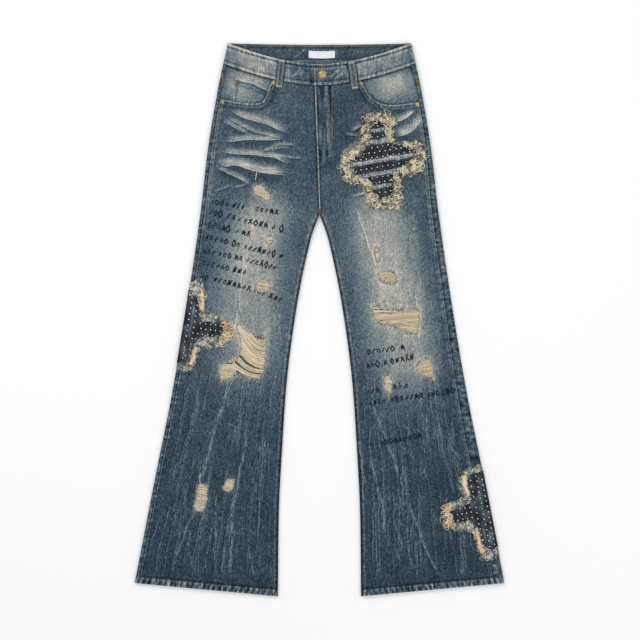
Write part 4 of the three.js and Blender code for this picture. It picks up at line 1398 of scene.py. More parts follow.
def front_band(side, name):
    spread = np.linspace(0, 1, BAND_COLUMNS)

    def column_at(y):
        y = y[:, :1]
        edge = side * outer_edge(y)
        inside = fly_edge(y) if side > 0 else BAND_UNDERLAP + 0 * y
        return np.hstack([edge - side * ROUND[:-1], lerp(edge - side * FOLD_RADIUS, inside, spread)])

    shares = np.linspace(0, 1, BAND_ROWS)
    x, y = column_rows(FIXED + BAND_COLUMNS, column_at, front_band_foot, front_top, shares)
    fade_and_shade, height, pucker = band_look(x, y)
    if side > 0:
        # A pale fly edge, with painted shade in the groove beside it.
        fade_and_shade = fade_and_shade + 0.36 * bell(x - fly_edge(y), 1.7)
        fade_and_shade = fade_and_shade - 0.12 * bell(x - fly_edge(y) - 5.5, 2.2)
    away = outer_edge(y) - np.abs(x)
    height = height * ease(1, 5, away) * (1 if side > 0 else 1 - ease(-16, -8, x))
    points = xyz(x, y, band_skin(side, x, y) + height)
    cloth(name, points, {"Fade": fade_and_shade, "Pucker": pucker}, BAND, "denim", (212, 45))


HOOKS = 26


def inner_band_look(x, y):
    """Fade and painted shade of the back waistband's lining, with its bar of hook-shaped puckers."""
    fade_and_shade = 0.31 + 0.05 * soft_noise(x, y, 14, 91) + 0.05 * soft_noise(x, y, 5, 92)
    fade_and_shade = fade_and_shade + 0.20 * bell(y - back_top(x) + 1, 1.8)
    # Painted shade in the groove below its top edge.
    fade_and_shade = fade_and_shade - 0.10 * bell(y - back_top(x) + 5, 2.2)
    # A pale line at the stitches, and a painted shadow just under the label.
    fade_and_shade = fade_and_shade + 0.16 * bell(y - 504, 1.6) - 0.14 * bell(y - 507.5, 1.4)
    fade_and_shade = fade_and_shade + 0.10 * ease(506, 500, y)
    rng = np.random.default_rng(SEED + 90)
    for at in np.linspace(-158, 158, HOOKS):
        foot = back_top(at) - rng.uniform(9, 13)
        size = rng.uniform(3.2, 5)
        hook = [(at - size, foot), (at, foot - size * 0.9), (at + size * 0.8, foot), (at + size, foot + size)]
        fade_and_shade = fade_and_shade + 0.17 * stroke(x, y, smooth_line(hook), 1.5, 1.5)
    fade_and_shade = fade_and_shade + 0.26 * stroke(x, y, [(-56, 506.5), (-38, 519), (-22, 531)], 1.8, 1.8)
    return fade_and_shade + 0.16 * stroke(x, y, [(-44, 500), (-30, 512)], 1.6, 1.6)


def back_band(name):
    """The back half of the waistband. Its inside shows above the dipped front."""
    spread = np.linspace(-1, 1, BACK_BAND_COLUMNS)

    def column_at(y):
        edge = outer_edge(y[:, :1])
        return np.hstack([-edge + ROUND[:-1], spread * (edge - FOLD_RADIUS), edge - ROUND[-2::-1]])

    shares = np.linspace(0, 1, BAND_ROWS)
    x, y = column_rows(2 * FIXED + BACK_BAND_COLUMNS, column_at, back_band_foot, back_top, shares)
    points = xyz(x, y, skin(x, y, -1, BAND_LOFT))
    cloth(name, points, inner_band_look(x, y), BAND, "denim", (372, 44), down=True)


LABEL = {"x": 4.5, "y": 517, "width": 51, "height": 14, "thick": 0.5}


def waist_label(name):
    """A bare woven tab, sewn inside the back waistband and bowed a little."""
    x, y = np.meshgrid(np.linspace(-0.5, 0.5, 36), np.linspace(-0.5, 0.5, 14))
    bow = 1 - (2 * x) ** 2
    points = xyz(
        LABEL["x"] + x * LABEL["width"],
        LABEL["y"] + y * LABEL["height"] - 1.3 * bow,
        UNDERSIDE_RISE + BAND + GAP + LABEL["thick"] + 0.5 * bow * (0.5 - y),
    )
    flat = (LABEL["width"], LABEL["height"])
    cloth(name, points, 0 * x, LABEL["thick"], "label", flat, on=["waistband_back"])


LOOP_WIDTH = 11.6
LOOP_THICK = 1.4
BAND_TOP_Z = UNDERSIDE_RISE + BAND_LOFT
BACK_LOOPS = {"right": -98, "centre": 0, "left": 98}


def loop_frame(ends, across, along):
    """A point of a front loop's upper face: `across` from -0.5 to 0.5, `along` from top to foot."""
    (tx, ty), (fx, fy) = ends
    length = math.hypot(fx - tx, fy - ty)
    nx, ny = -(fy - ty) / length, (fx - tx) / length
    x = lerp(tx, fx, along) + nx * across * LOOP_WIDTH
    y = lerp(ty, fy, along) + ny * across * LOOP_WIDTH
    low = skin(np.full_like(x, fx), np.full_like(x, fy), 1)
    z = lerp(BAND_TOP_Z, low, ease(0.84, 0.93, along)) + 1.5 * GAP + LOOP_THICK
    crown = 0.25 * (1 - (2 * across) ** 2) * ease(0, 0.06, along) * ease(0, 0.06, 1 - along)
    return xyz(x, y, z + crown)


def loop_fade_and_shade(across, along, seed):
    # Pale worn edges and ends; the groove inside each edge is painted shade.
    edge = bell(np.abs(across) - 0.5, 0.07)
    groove_shade = bell(np.abs(across) - 0.30, 0.09)
    ends = bell(along, 0.03) + bell(1 - along, 0.03)
    fade_and_shade = 0.40 + 0.50 * edge - 0.28 * groove_shade + 0.32 * ends + 0.10 * roping(along * 52, 7.5, seed) * edge
    return fade_and_shade + 0.05 * soft_noise(across * 12, along * 52, 4, seed)


def front_loop(key, name):
    along, across = np.meshgrid(np.linspace(0, 1, 44), np.linspace(-0.5, 0.5, 11), indexing="ij")
    points, fade_and_shade = loop_frame(LOOPS[key], across, along), loop_fade_and_shade(across, along, 95)
    cloth(name, points, fade_and_shade, LOOP_THICK, "denim", (LOOP_WIDTH, 53), [f"waistband_front_{key}"])


def back_loop(key, name):
    along, across = np.meshgrid(np.linspace(0, 1, 30), np.linspace(-0.5, 0.5, 9), indexing="ij")
    points = xyz(BACK_LOOPS[key] + across * LOOP_WIDTH, 535 - along * 54, 0 * along)
    fade_and_shade = loop_fade_and_shade(across, along, 97)
    cloth(name, points, fade_and_shade, 1.2, "denim", (LOOP_WIDTH, 54), ["waistband_back"], down=True)


# ------------------------------------------------------------------ studded crosses
HIP_CLOTH = [
    (104, 391), (126, 380), (132, 352), (139, 341), (180, 339), (184, 312), (147, 292), (141, 276),
    (143, 253), (137, 239), (114, 234), (102, 253), (106, 269), (75, 278), (58, 290), (59, 312),
    (81, 323), (98, 345), (97, 370),
]
HIP_FRAY = [
    (83, 390), (102, 397), (130, 403), (147, 395), (145, 366), (149, 339), (176, 347), (202, 343),
    (205, 312), (196, 288), (165, 280), (157, 269), (163, 218), (128, 214), (95, 220), (91, 249),
    (87, 265), (50, 267), (42, 292), (42, 319), (63, 331), (83, 339),
]
HIP_SLANT = 0.167
HIP_PALE = [(371, 3.5), (349, 5), (311, 5), (285, 4.5), (260, 4)]

# The wrapped crosses, in plan: s in from the leg's edge and v along it, for the half on the front.
KNEE = {
    "name": "knee_cross", "side": -1, "y": -14, "middle": 1,
    "fray": [(4, 90), (10, 94), (18, 91), (29, 80), (34, 60), (33, 36), (46, 34), (60, 31), (69, 32),
             (76, 26), (78, 17), (85, 16), (94, 12), (95, 0), (89, -10), (85, -22), (78, -28), (62, -29),
             (46, -30), (35, -27), (33, -31), (35, -44), (35, -56), (32, -67), (29, -76), (19, -84),
             (7, -81)],
    "cloth": [(5, 73), (17, 68), (23, 50), (27, 37), (30, 19), (40, 17), (73, 22), (77, 4), (74, -14),
              (53, -10), (35, -15), (26, -30), (25, -45), (21, -61), (12, -69), (5, -70)],
    "strips": [[(26, 78), (28, 62), (30, 46), (31, 35)], [(31, -33), (30.5, -46), (29, -58), (25, -72)]],
    "strip_half": 5.2,
    "studs": [(8.3, -60, 68, 10.9), (20.1, -52, 62, 10.9)],
    "rows": [(12.8, 32, 72), (2.4, 34, 74), (-7.6, 30, 72)],
    "row_step": 9.7,
}
HEM = {
    "name": "hem_cross", "side": 1, "y": -375, "middle": 10,
    "fray": [(20, 92), (33, 90), (42, 87), (48, 62), (44, 51), (42, 38), (59, 33), (74, 31), (82, 27),
             (90, 19), (91, 1), (88, -11), (75, -20), (54, -26), (40, -26), (39, -37), (39, -59),
             (36, -76), (28, -85), (21, -94), (14, -85)],
    "cloth": [(20, 82), (31, 80), (33, 60), (32, 42), (34, 27), (43, 25), (59, 26), (77, 17), (76, -8),
              (58, -11), (43, -10), (30, -24), (28, -54), (24, -66), (14, -71)],
    "strips": [[(38, 82), (40, 68), (38, 52), (35, 40)], [(34, -28), (34, -44), (34, -60), (30, -77)]],
    "strip_half": 5.6,
    "studs": [(4.8, -62, 74, 10.7), (14.8, -64, 76, 10.7), (27, -60, 74, 10.7)],
    "rows": [(18, 38, 58), (8, 37, 68), (-3, 38, 76)],
    "row_step": 9.3,
}
CROSS_BASE = 0.8
CROSS_TOP = 1.5


def wrapped(side, y0):
    """Places plan points of a cross that wraps round a leg's outer edge, `off` clear of the skin."""
    slope = float(outer_edge(y0 + 50) - outer_edge(y0 - 50)) / 100
    norm = math.hypot(1, slope)

    def place(s, v, off):
        reach = np.abs(s)
        face = np.where(s >= 0, 1, -1)
        y = y0 + (v + slope * reach) / norm
        x = side * (outer_edge(y) - reach * norm)
        level = np.clip(1 - reach * norm / FOLD_RADIUS, 0, 1)
        z = skin(x, y, face) + face * np.sqrt(1 - level**2) * off
        return xyz(x + side * level * off / norm, y - slope * level * off / norm, z)

    return place


def on_hip(u, v, off):
    return xyz(u, v, front_height(np.minimum(u, outer_edge(v) - 4), v) + off)


def both_halves(points, middle):
    """A wrapped cross's whole outline: the front half, then its mirror image underneath."""
    points = np.array(points, float)
    folded = points[::-1] * [-1, 1] + [2 * middle, 0]
    return np.vstack([points, folded])


HIP_ROW, HIP_STEP = 10.0, 10.4  # spacing of the hip cross's studs, up and across


def hip_studs(rng):
    made = []
    for row, w in enumerate(np.arange(238, 392, HIP_ROW)):
        for u in np.arange(50 + HIP_ROW / 2 * (row % 2), 190, HIP_STEP):
            v = w + HIP_SLANT * (u - 122)
            made.append((u + rng.uniform(-0.8, 0.8), v + rng.uniform(-0.8, 0.8)))
    made = np.array(made)
    u, v = made.T
    cloth = smooth_line(HIP_CLOTH, 1, closed=True)
    distance = nearest_on(u, v, cloth)[0]
    return made[inside_of(u, v, cloth) & (distance > 3.2)]


def wrapped_studs(cross, rng):
    made = []
    for s, low, high, step in cross["studs"]:
        made += [(s, v) for v in np.arange(low, high, step)]
    for v, low, high in cross["rows"]:
        made += [(s, v + 0.03 * (s - 40)) for s in np.arange(low, high, cross["row_step"])]
    made = np.array(made)
    return made + rng.uniform(-0.6, 0.6, made.shape)


def stud_shadow(u, v, studs):
    """Darkens the cloth round each stud."""
    made = np.zeros(np.shape(u))
    for su, sv in studs:
        near_it = (np.abs(u - su) < 7) & (np.abs(v - sv) < 7)
        distance = np.hypot(u[near_it] - su, v[near_it] - sv)
        made[near_it] = np.maximum(made[near_it], bell(distance, 3.3, 4))
    return made


def hip_cloth_fade_and_shade(studs):
    def tone_at(u, v):
        w = v - HIP_SLANT * (u - 122) + 1.5 * soft_noise(u, v, 14, 101)
        fade_and_shade = 0.34 + 0.16 * soft_noise(u, v, 6, 105)
        for at, half in HIP_PALE:
            fade_and_shade = fade_and_shade + 0.60 * bell(w - at, half, 4)
        edge = nearest_on(u, v, smooth_line(HIP_CLOTH, 1, closed=True))[0]
        # Painted shade round the patch's edge, where it meets the fray, and the studs' painted shadows.
        fade_and_shade = fade_and_shade - 0.24 * bell(edge, 3) - 0.42 * stud_shadow(u, v, studs)
        return fade_and_shade + 0.05 * soft_noise(u, v, 4, 102)

    return tone_at


def wrapped_cloth_fade_and_shade(studs):
    def tone_at(s, v):
        reach = np.abs(s)
        fade_and_shade = 0.39 + 0.22 * soft_noise(s, v * 0.25, 5, 103) + 0.20 * soft_noise(s, v, 11, 104)
        # Painted shade where the cloth turns round the leg's edge.
        fade_and_shade = fade_and_shade - 0.30 * (1 - ease(0.5, 4, reach)) + 0.12 * bell(reach - 11, 3.5)
        return fade_and_shade - 0.34 * stud_shadow(s, v, studs) * (s > 0)

    return tone_at


def tufts(name, place, inner, outer, count, made_of, rng, length, radius, tint=(0.2, 0.9), lean=0.5,
          lift=(0.7, 1.2), rule=None):
    """Clumps of loose thread between a cross's cloth and the reach of its fray."""
    inner, outer = np.array(inner, float), np.array(outer, float)
    u, v = rng.uniform(outer.min(0), outer.max(0), (count * 12, 2)).T
    fits = inside_of(u, v, outer) & ~inside_of(u, v, inner)
    if rule is not None:
        fits &= rule(u, v)
    u, v = u[fits][:count], v[fits][:count]
    distance, nu, nv = nearest_on(u, v, inner)
    way = np.column_stack([u - nu, v - nv]) / (distance[:, None] + 1e-6)
    clump = lattice(u / 6, v / 6, 5)
    way = turned(way, lean * (2 * clump - 1) * 3.2 + rng.normal(0, 0.6, len(u)))
    side = left_of(way)
    t = np.linspace(0, 1, 5)
    size = rng.uniform(*length, (len(u), 1))
    curl = rng.normal(0, 0.42, (len(u), 1)) * size
    along = t * size - 0.35 * size
    bend = np.sin(t * math.pi) * curl
    pu = u[:, None] + way[:, :1] * along + side[:, :1] * bend
    pv = v[:, None] + way[:, 1:] * along + side[:, 1:] * bend
    top = rng.uniform(*lift, (len(u), 1))
    off = CROSS_BASE - 0.3 + top * np.sin(t * 0.85 * math.pi + 0.2)
    thick = radius * rng.uniform(0.7, 1.25, (len(u), 1)) * np.array([0.7, 1.1, 1.1, 0.9, 0.35])
    mixed = 0.45 * lattice(u / 5, v / 5, 9) + 0.55 * rng.random(len(u))
    tubes(name, place(pu, pv, off), thick, lerp(*tint, ease(0.1, 0.85, mixed)), made_of)


def stud_mesh(radius, height):
    """One domed stud, modelled once: its vertices in millimetres, and its triangles."""
    bpy.ops.object.select_all(action="DESELECT")
    bpy.ops.mesh.primitive_uv_sphere_add(segments=8, ring_count=5, radius=radius * M)
    model = bpy.context.active_object
    bpy.ops.object.mode_set(mode="EDIT")
    bpy.ops.mesh.select_all(action="SELECT")
    bpy.ops.transform.resize(value=(1, 1, height / radius), center_override=(0, 0, 0))
    bpy.ops.mesh.quads_convert_to_tris()
    bpy.ops.object.mode_set(mode="OBJECT")
    corners = np.array([vertex.co for vertex in model.data.vertices]) / M
    faces = np.array([list(face.vertices) for face in model.data.polygons])
    bpy.data.objects.remove(model)
    return corners, faces


def studs_on(name, spots, place):
    """Every stud of one cross, all copies of the same modelled stud."""
    settings = bpy.context.scene.jeans
    corners, faces = stud_mesh(settings.stud_radius / M, settings.stud_height / M)
    middles = place(spots[:, 0], spots[:, 1], np.full(len(spots), CROSS_TOP + 0.1))
    vertices = (middles[:, None] + corners[None]).reshape(-1, 3)
    every = (faces[None] + np.arange(len(spots))[:, None, None] * len(corners)).reshape(-1, 3)
    piece = in_scene(name, mesh_of(name, vertices, every, {}), "stud")
    smooth(piece, 80)
    dress(piece, "stud")


def rolled_strip(name, cross, line, place):
    """The smooth turned edge that rolls out beside a wrapped cross's upright."""
    path = resample(smooth_line(line, 2), 1.6)
    path[:, 0] += 1.5 * soft_noise(path[:, 1], 0 * path[:, 1], 8, 6 + cross["side"])
    way = unit(np.gradient(path, axis=0))
    half = cross["strip_half"]
    width = half * (0.84 + 0.30 * soft_noise(path[:, 1], path[:, 1] * 0, 6, 7))
    t = np.linspace(0, 1, len(path))
    ends = np.minimum(ease(0, 0.12, t), ease(0, 0.12, 1 - t))
    width = width * (0.35 + 0.65 * ends)
    across = np.linspace(-1, 1, 9)
    u = path[:, :1] - way[:, 1:] * across * width[:, None]
    v = path[:, 1:] + way[:, :1] * across * width[:, None]
    crown = np.sqrt(np.clip(1 - across**2, 0, 1))[None] * (0.3 + 0.7 * ends[:, None])
    points = place(u, v, 0.5 + crown * (2.3 + 0.35 * soft_noise(u, v, 4.5, 111)))
    # The roll's sides are painted darker, as shade where they turn away from the light.
    fade_and_shade = 0.76 + 0.22 * soft_noise(u, v, 4.5, 112) - 0.45 * np.abs(across[None]) ** 4 + 0 * u
    flat = (2.4 * half, np.hypot(*np.diff(path, axis=0).T).sum() * 1.05)
    cloth(name, points, fade_and_shade, 0.4, "peach", flat, stands_for=())


def cross_cloth(name, outline, place, tone_at, step=2.0, folded=False):
    on_top = lambda u, v: place(u, v, CROSS_TOP + 0 * u)
    size = np.ptp(np.array(outline), axis=0) * [1.01, 1.01 * 1.02]
    patch(name, outline, on_top, tone_at, 1.0, "cross", size, step=step, folded=folded)


def cross_base(name, outline, place, made_of, step=2.2, folded=False):
    """The frayed cloth under a cross, that its loose threads stand out of."""
    def tone_at(u, v):
        return 0.30 + 0.26 * soft_noise(u, v, 3.2, 121) + 0.18 * soft_noise(u, v, 7, 122)

    def rough(u, v):
        return place(u, v, CROSS_BASE + 0.25 * soft_noise(u, v, 4, 123) * (u > 0))

    size = np.ptp(np.array(outline), axis=0) * 1.01
    patch(name, outline, rough, tone_at, 0.5, made_of, size, step=step, folded=folded)


def hip_cross():
    rng = np.random.default_rng(SEED + 100)
    fray = torn(HIP_FRAY, rng, 1.6, 3.2)
    inner = torn(HIP_CLOTH, rng, 0.9, 3.0)
    cross_base("hip_cross_fray", fray, on_hip, "fray")
    studs = hip_studs(rng)
    cross_cloth("hip_cross_patch", inner, on_hip, hip_cloth_fade_and_shade(studs), 1.8)
    studs_on("hip_cross_studs", studs, on_hip)
    tufts("hip_cross_tufts", on_hip, inner, fray, 1700, "fray", rng, (6, 12), 0.72, (0.05, 1.0))


def wrapped_cross(cross):
    rng = np.random.default_rng(SEED + 130 + cross["side"])
    place = wrapped(cross["side"], cross["y"])
    fray = torn(both_halves(cross["fray"], cross["middle"]), rng, 1.2, 3.0)
    inner = both_halves(cross["cloth"], cross["middle"])
    name = cross["name"]
    cross_base(f"{name}_fray", fray, place, "frayed", 2.4, folded=True)
    studs = wrapped_studs(cross, rng)
    cross_cloth(f"{name}_patch", inner, place, wrapped_cloth_fade_and_shade(studs), 2.0, folded=True)
    studs_on(f"{name}_studs", studs, place)
    beside = lambda u, v: (u > 3) & (u < 74)
    beneath = lambda u, v: u < -3
    at_end = lambda u, v: (u > 72) & (np.abs(v - 3) < 26)
    # Each is (part, how many, finish, length, radius, tint, lean, lift, where).
    for part, count, made_of, *size_and_lie in (
        ("tufts", 400, "fray", (5, 10), 0.6, (0.0, 1.0), 0.5, (0.7, 1.2), beside),
        ("tufts_blue", 400, "frayed", (5, 10), 0.6, (0.1, 1.0), 0.5, (0.7, 1.2), beside),
        ("tufts_under", 330, "fray", (5, 9), 0.35, (0.2, 0.9), 0.5, (0.2, 0.35), beneath),
        ("arm_end", 300, "peach", (8, 14), 0.75, (0.4, 1.0), 0.25, (1.0, 1.8), at_end),
    ):
        tufts(f"{name}_{part}", place, inner, fray, count, made_of, rng, *size_and_lie)
    for number, line in enumerate(cross["strips"], 1):
        rolled_strip(f"{name}_rolled_edge_{number}", cross, line, place)


# ------------------------------------------------------------------ threads left across the rips
THREAD_STEPS = 11


def crossings(outline, lean, pitch):
    """Ends of the weft threads that cross an outline, `pitch` apart and leaning by `lean` degrees."""
    outline = np.array(outline, float)
    c, s = math.cos(math.radians(lean)), math.sin(math.radians(lean))
    u = outline @ [c, s]
    v = outline @ [-s, c]
    made = []
    for level in np.arange(v.min() + pitch / 2, v.max(), pitch):
        hits = []
        for ua, va, ub, vb in zip(u, v, np.roll(u, -1), np.roll(v, -1)):
            if (va > level) != (vb > level):
                hits.append(ua + (level - va) / (vb - va) * (ub - ua))
        hits.sort()
        made += [(a, b, level) for a, b in zip(hits[::2], hits[1::2]) if b - a > 1]
    made = np.array(made)
    back = np.array([[c, s], [-s, c]])
    start = np.column_stack([made[:, 0], made[:, 2]]) @ back
    end = np.column_stack([made[:, 1], made[:, 2]]) @ back
    return start, end


def weft(start, end, side, rng, sag=1.0, wander=0.8, tuck=2.0):
    """Paths of threads that come out of the cloth at one end and go into it at the other."""
    t = np.linspace(0, 1, THREAD_STEPS)
    way = unit(end - start)
    length = np.hypot(*(end - start).T)[:, None]
    across = left_of(way)
    reach = t[None] * (length + 2 * tuck) - tuck
    phase = rng.uniform(0, 6.28, (len(start), 3))
    wave = sum(
        amount * np.sin(t[None] * turns * math.pi + phase[:, k : k + 1])
        for k, (turns, amount) in enumerate([(1.2, 0.5), (2.6, 0.3), (5.1, 0.2)])
    )
    swing = (wander * wave - sag * rng.uniform(0, 1, (len(start), 1))) * np.sin(t * math.pi)[None]
    x = start[:, :1] + way[:, :1] * reach + across[:, :1] * swing
    y = start[:, 1:] + way[:, 1:] * reach + across[:, 1:] * swing
    inside = np.sin(t * math.pi)[None]
    return xyz(x, y, front_skin(side, x, y) - 0.55 + 0.5 * inside + 0.3 * wave * inside)


# Guides for the big knee rip's draped threads, from the top of the rip down.
DRAPES = [
    [
        [(-168, -2), (-158, -5), (-146, -15), (-134, -27), (-120, -38), (-102, -40)],
        [(-170, -10), (-156, -13), (-144, -26), (-132, -42), (-118, -53), (-103, -55)],
        [(-172, -16), (-157, -19), (-148, -36), (-136, -54), (-122, -67), (-105, -70)],
        [(-157, -24), (-152, -38), (-146, -54), (-136, -68), (-122, -78), (-104, -82)],
        [(-156, -50), (-152, -60), (-145, -72), (-134, -83), (-120, -90), (-105, -92)],
        [(-156, -62), (-152, -68), (-145, -78), (-134, -87), (-122, -93), (-106, -96)],
    ],
    [
        [(-163, -66), (-156, -72), (-148, -82), (-137, -90), (-124, -95.5), (-106, -97.5)],
        [(-167, -74), (-159, -83), (-150, -92), (-138, -99), (-126, -103), (-108, -104)],
    ],
    [
        [(-168, -78), (-160, -87), (-150, -95), (-138, -102), (-126, -105.5), (-109, -106)],
        [(-172, -92), (-162, -98), (-150, -105), (-138, -110), (-126, -114), (-114, -116)],
    ],
    [
        [(-198, -92), (-190, -88), (-182, -86), (-175, -86), (-168, -88), (-163, -90)],
        [(-197, -108), (-190, -104), (-182, -103), (-175, -104), (-168, -106), (-162, -104)],
        [(-196, -122), (-190, -119), (-182, -117), (-176, -115), (-170, -113), (-164, -110)],
    ],
]


def draped(side, pitch, rng):
    """Threads that hang in curves between guides, for the torn knee."""
    paths = []
    at = np.linspace(0, 1, THREAD_STEPS + 3)
    for guides in DRAPES:
        smooth_guides = [resample(smooth_line(guide, 2), 1.5) for guide in guides]
        even = [points_at(at, np.linspace(0, 1, len(guide)), guide) for guide in smooth_guides]
        for a, b in zip(even[:-1], even[1:]):
            gap = np.hypot(*(b - a).T).mean()
            count = max(3, int(gap / pitch))
            for share in (np.arange(count) + rng.uniform(0.1, 0.9, count)) / count:
                middle = lerp(a, b, share)
                wave = rng.normal(0, 0.35) * np.sin(at * math.pi * rng.uniform(1.5, 3) + rng.uniform(0, 6))
                paths.append(middle + np.column_stack([wave * 0.3, wave]))
    paths = np.array(paths)
    x, y = paths[..., 0], paths[..., 1]
    inside = np.sin(at * math.pi)[None]
    bob = 0.30 * soft_noise(x, y, 9, 131) + rng.normal(0, 0.16, (len(x), 1))
    return xyz(x, y, front_skin(side, x, y) - 0.6 + 0.7 * inside + bob * inside)


# Where a rip's threads have parted: (from, to, how far they have moved each way).
SLITS = {
    -1: [((-136, -20), (-104, -35), 3.4)],
    1: [((104, 20), (162, 18.5), 2.0), ((110, 13), (150, 13.5), 1.4)],
}


def parted(side, paths):
    """Pushes threads to either side of the slits."""
    for (ax, ay), (bx, by), gap in SLITS[side]:
        t = (paths[..., 0] - ax) / (bx - ax)
        away = paths[..., 1] - lerp(ay, by, t)
        push = gap * np.sin(np.clip(t, 0, 1) * math.pi) ** 0.5 * bell(away, 4)
        paths[..., 1] += np.where(away >= 0, push, -push)
    return paths


def broken(outline, count, side, rng):
    """Loose ends that curl over the threads left across a rip."""
    outline = resample(outline, 1.0, closed=True)
    start = outline[rng.integers(0, len(outline), count)]
    way = turned(unit(outline.mean(0) - start), rng.normal(0, 0.7, count))
    t = np.linspace(0, 1, 6)
    size = rng.uniform(4, 12, (count, 1))
    curl = rng.normal(0, 0.28, (count, 1)) * size
    x = start[:, :1] + way[:, :1] * t * size - way[:, 1:] * curl * t**2
    y = start[:, 1:] + way[:, 1:] * t * size + way[:, :1] * curl * t**2
    z = front_skin(side, x, y) + 0.2 + 0.5 * np.sin(t * math.pi)[None] * rng.random((count, 1))
    return xyz(x, y, z)


def rip_threads(side, number, name):
    """Two layers of threads left across a rip, the deeper one sparser."""
    settings = bpy.context.scene.jeans
    rng = np.random.default_rng(SEED + 200 + 20 * side + number)
    pitch = settings.thread_pitch / M
    if (side, number) == BIG_KNEE:
        upper, deeper = draped(side, pitch, rng), draped(side, pitch * 1.3, rng)
    else:
        start, end = crossings(RIPS[side][number], LEANS[side][number], pitch)
        jitter = rng.uniform(-0.3, 0.3, start.shape)
        upper = weft(start + jitter, end - jitter, side, rng)
        start, end = crossings(RIPS[side][number], LEANS[side][number] + 2, pitch * 1.25)
        deeper = weft(start, end, side, rng, sag=0.6)
    deeper[..., 2] -= 0.7
    paths = parted(side, np.concatenate([upper, deeper]))
    count = len(paths)
    tint = 0.74 + 0.19 * rng.normal(0, 1, count)
    tint = tint + 0.08 * soft_noise(paths[:, 5, 0], paths[:, 5, 1] * 3, 6, 141)
    thick = settings.thread_radius / M * rng.uniform(0.75, 1.25, (count, 1))
    tubes(name, paths, thick, tint, "weft", name)


# Single threads that have pulled loose and lie over the cloth.
LOOSE = {
    -1: [
        [(-164, -72), (-166, -84), (-165, -98), (-170, -113)],
        [(-169, -22), (-157, -22), (-150, -27), (-154, -33), (-166, -33), (-172, -28), (-168, -22)],
        [(-176, -18), (-170, -8), (-164, 2)],
        [(-181, -10), (-172, -4), (-162, -3)],
        [(-158, -36), (-156, -50), (-160, -64)],
        [(-231, -298), (-233, -310), (-232, -324)],
        [(-122, 287), (-123, 279), (-125, 271)],
    ],
    1: [
        [(196, 22), (198, 6), (194, -22)],
        [(220, -112), (224, -120)],
        [(133, -140), (136, -152), (134, -160)],
    ],
}


def pulled(side, rng):
    """Three strands along each pulled thread."""
    made = []
    for line in LOOSE[side]:
        path = smooth_line(line)
        t = np.linspace(0, 1, 6) * (len(path) - 1)
        plan = points_at(t, np.arange(len(path)), path)
        for _ in range(3):
            x, y = (plan + rng.uniform(-0.5, 0.5, 2) + rng.normal(0, 0.3, plan.shape)).T
            made.append(np.column_stack([x, y, front_height(x, y) + 0.25 + 0.2 * rng.random()]))
    return np.array(made)


def frayed_edges(side, name):
    """The short worn ends of blue and white yarn that stand round every rip."""
    rng = np.random.default_rng(SEED + 240 + side)
    paths, tints, loose = [], [], []
    t = np.linspace(0, 1, 5)
    for number, outline in enumerate(torn_rips(side)):
        line = resample(outline, 0.8, closed=True)
        way = way_along(line)
        across_warp = np.abs(way[:, 0]) > 0.75
        strength = FRINGED.get((side, number), 0.6)
        out = turned(left_of(way), rng.normal(0, 0.6, len(line)))
        size = rng.uniform(1.5, 4.2, len(line)) * np.where(across_warp, strength * 1.25, 0.6)
        reach = t[None] * 2 * size[:, None] - size[:, None]
        bend = rng.normal(0, 0.5, (len(line), 1)) * np.sin(t * math.pi)[None]
        x = line[:, :1] + out[:, :1] * reach + way[:, :1] * bend
        y = line[:, 1:] + out[:, 1:] * reach + way[:, 1:] * bend
        paths.append(xyz(x, y, front_height(x, y) + 0.05 + 0.35 * np.sin(t * math.pi)[None]))
        tints.append(rng.uniform(0.15, 1.0, len(line)))
        loose.append(broken(outline, int(6 + np.ptp(line, axis=0).prod() / 90), side, rng))
    thick = 0.3 * np.array([0.6, 1, 1, 0.9, 0.4])
    tubes(name, np.concatenate(paths), thick, np.concatenate(tints), "frayed")
    loose = np.concatenate([*loose, pulled(side, rng)])
    thick = 0.34 * np.array([1, 1, 1, 0.9, 0.8, 0.5])
    tubes(f"{name}_tails", loose, thick, rng.uniform(0.6, 1.0, len(loose)), "weft")


# ------------------------------------------------------------------ sewing
TWIN_ROWS = (2.4, 7.0)  # how far in from an edge its two rows of topstitching are
HEM_ROW = 10.8


def offset(line, by):
    line = np.array(line, float)
    way = np.gradient(line, axis=0)
    way /= np.hypot(*way.T)[:, None] + 1e-9
    return line + left_of(way) * by


def stitches(name, runs, height, tint, face=1):
    """Rows of stitches along polylines. height(x, y) is the surface they are sewn into."""
    settings = bpy.context.scene.jeans
    pitch, length = settings.stitch_pitch / M, settings.stitch_length / M
    rng = np.random.default_rng(SEED + 300 + len(name))
    starts, ends = [], []
    for line in runs:
        along = np.concatenate([[0], np.cumsum(steps_of(line))])
        at = np.arange(0.4, along[-1] - length, pitch)
        starts.append(points_at(at, along, line))
        ends.append(points_at(at + length, along, line))
    start, end = np.concatenate(starts), np.concatenate(ends)
    plan = start[:, None] + (end - start)[:, None] * np.array([0, 0.5, 1])[None, :, None]
    z = height(plan[..., 0], plan[..., 1]) + face * np.array([-0.12, 0.34, -0.12])[None]
    thick = settings.stitch_radius / M * np.array([0.75, 1, 0.75])
    shade = lerp(*tint, rng.random(len(plan)))
    tubes(name, np.concatenate([plan, z[..., None]], axis=-1), thick, shade, "topstitch")


def along_leg(x_at, low, high, step=6):
    y = np.arange(low, high, step)
    return np.column_stack([x_at(y), y])


def along_band(y_at, low, high, step=4.0):
    x = np.arange(low, high, step)
    return np.column_stack([x, y_at(x)])


def hem_run(side):
    x = np.arange(float(inner_edge(-520)) + 10, float(outer_edge(-510)) - 6, 5)
    return np.column_stack([side * x, hem_line(x) + HEM_ROW])


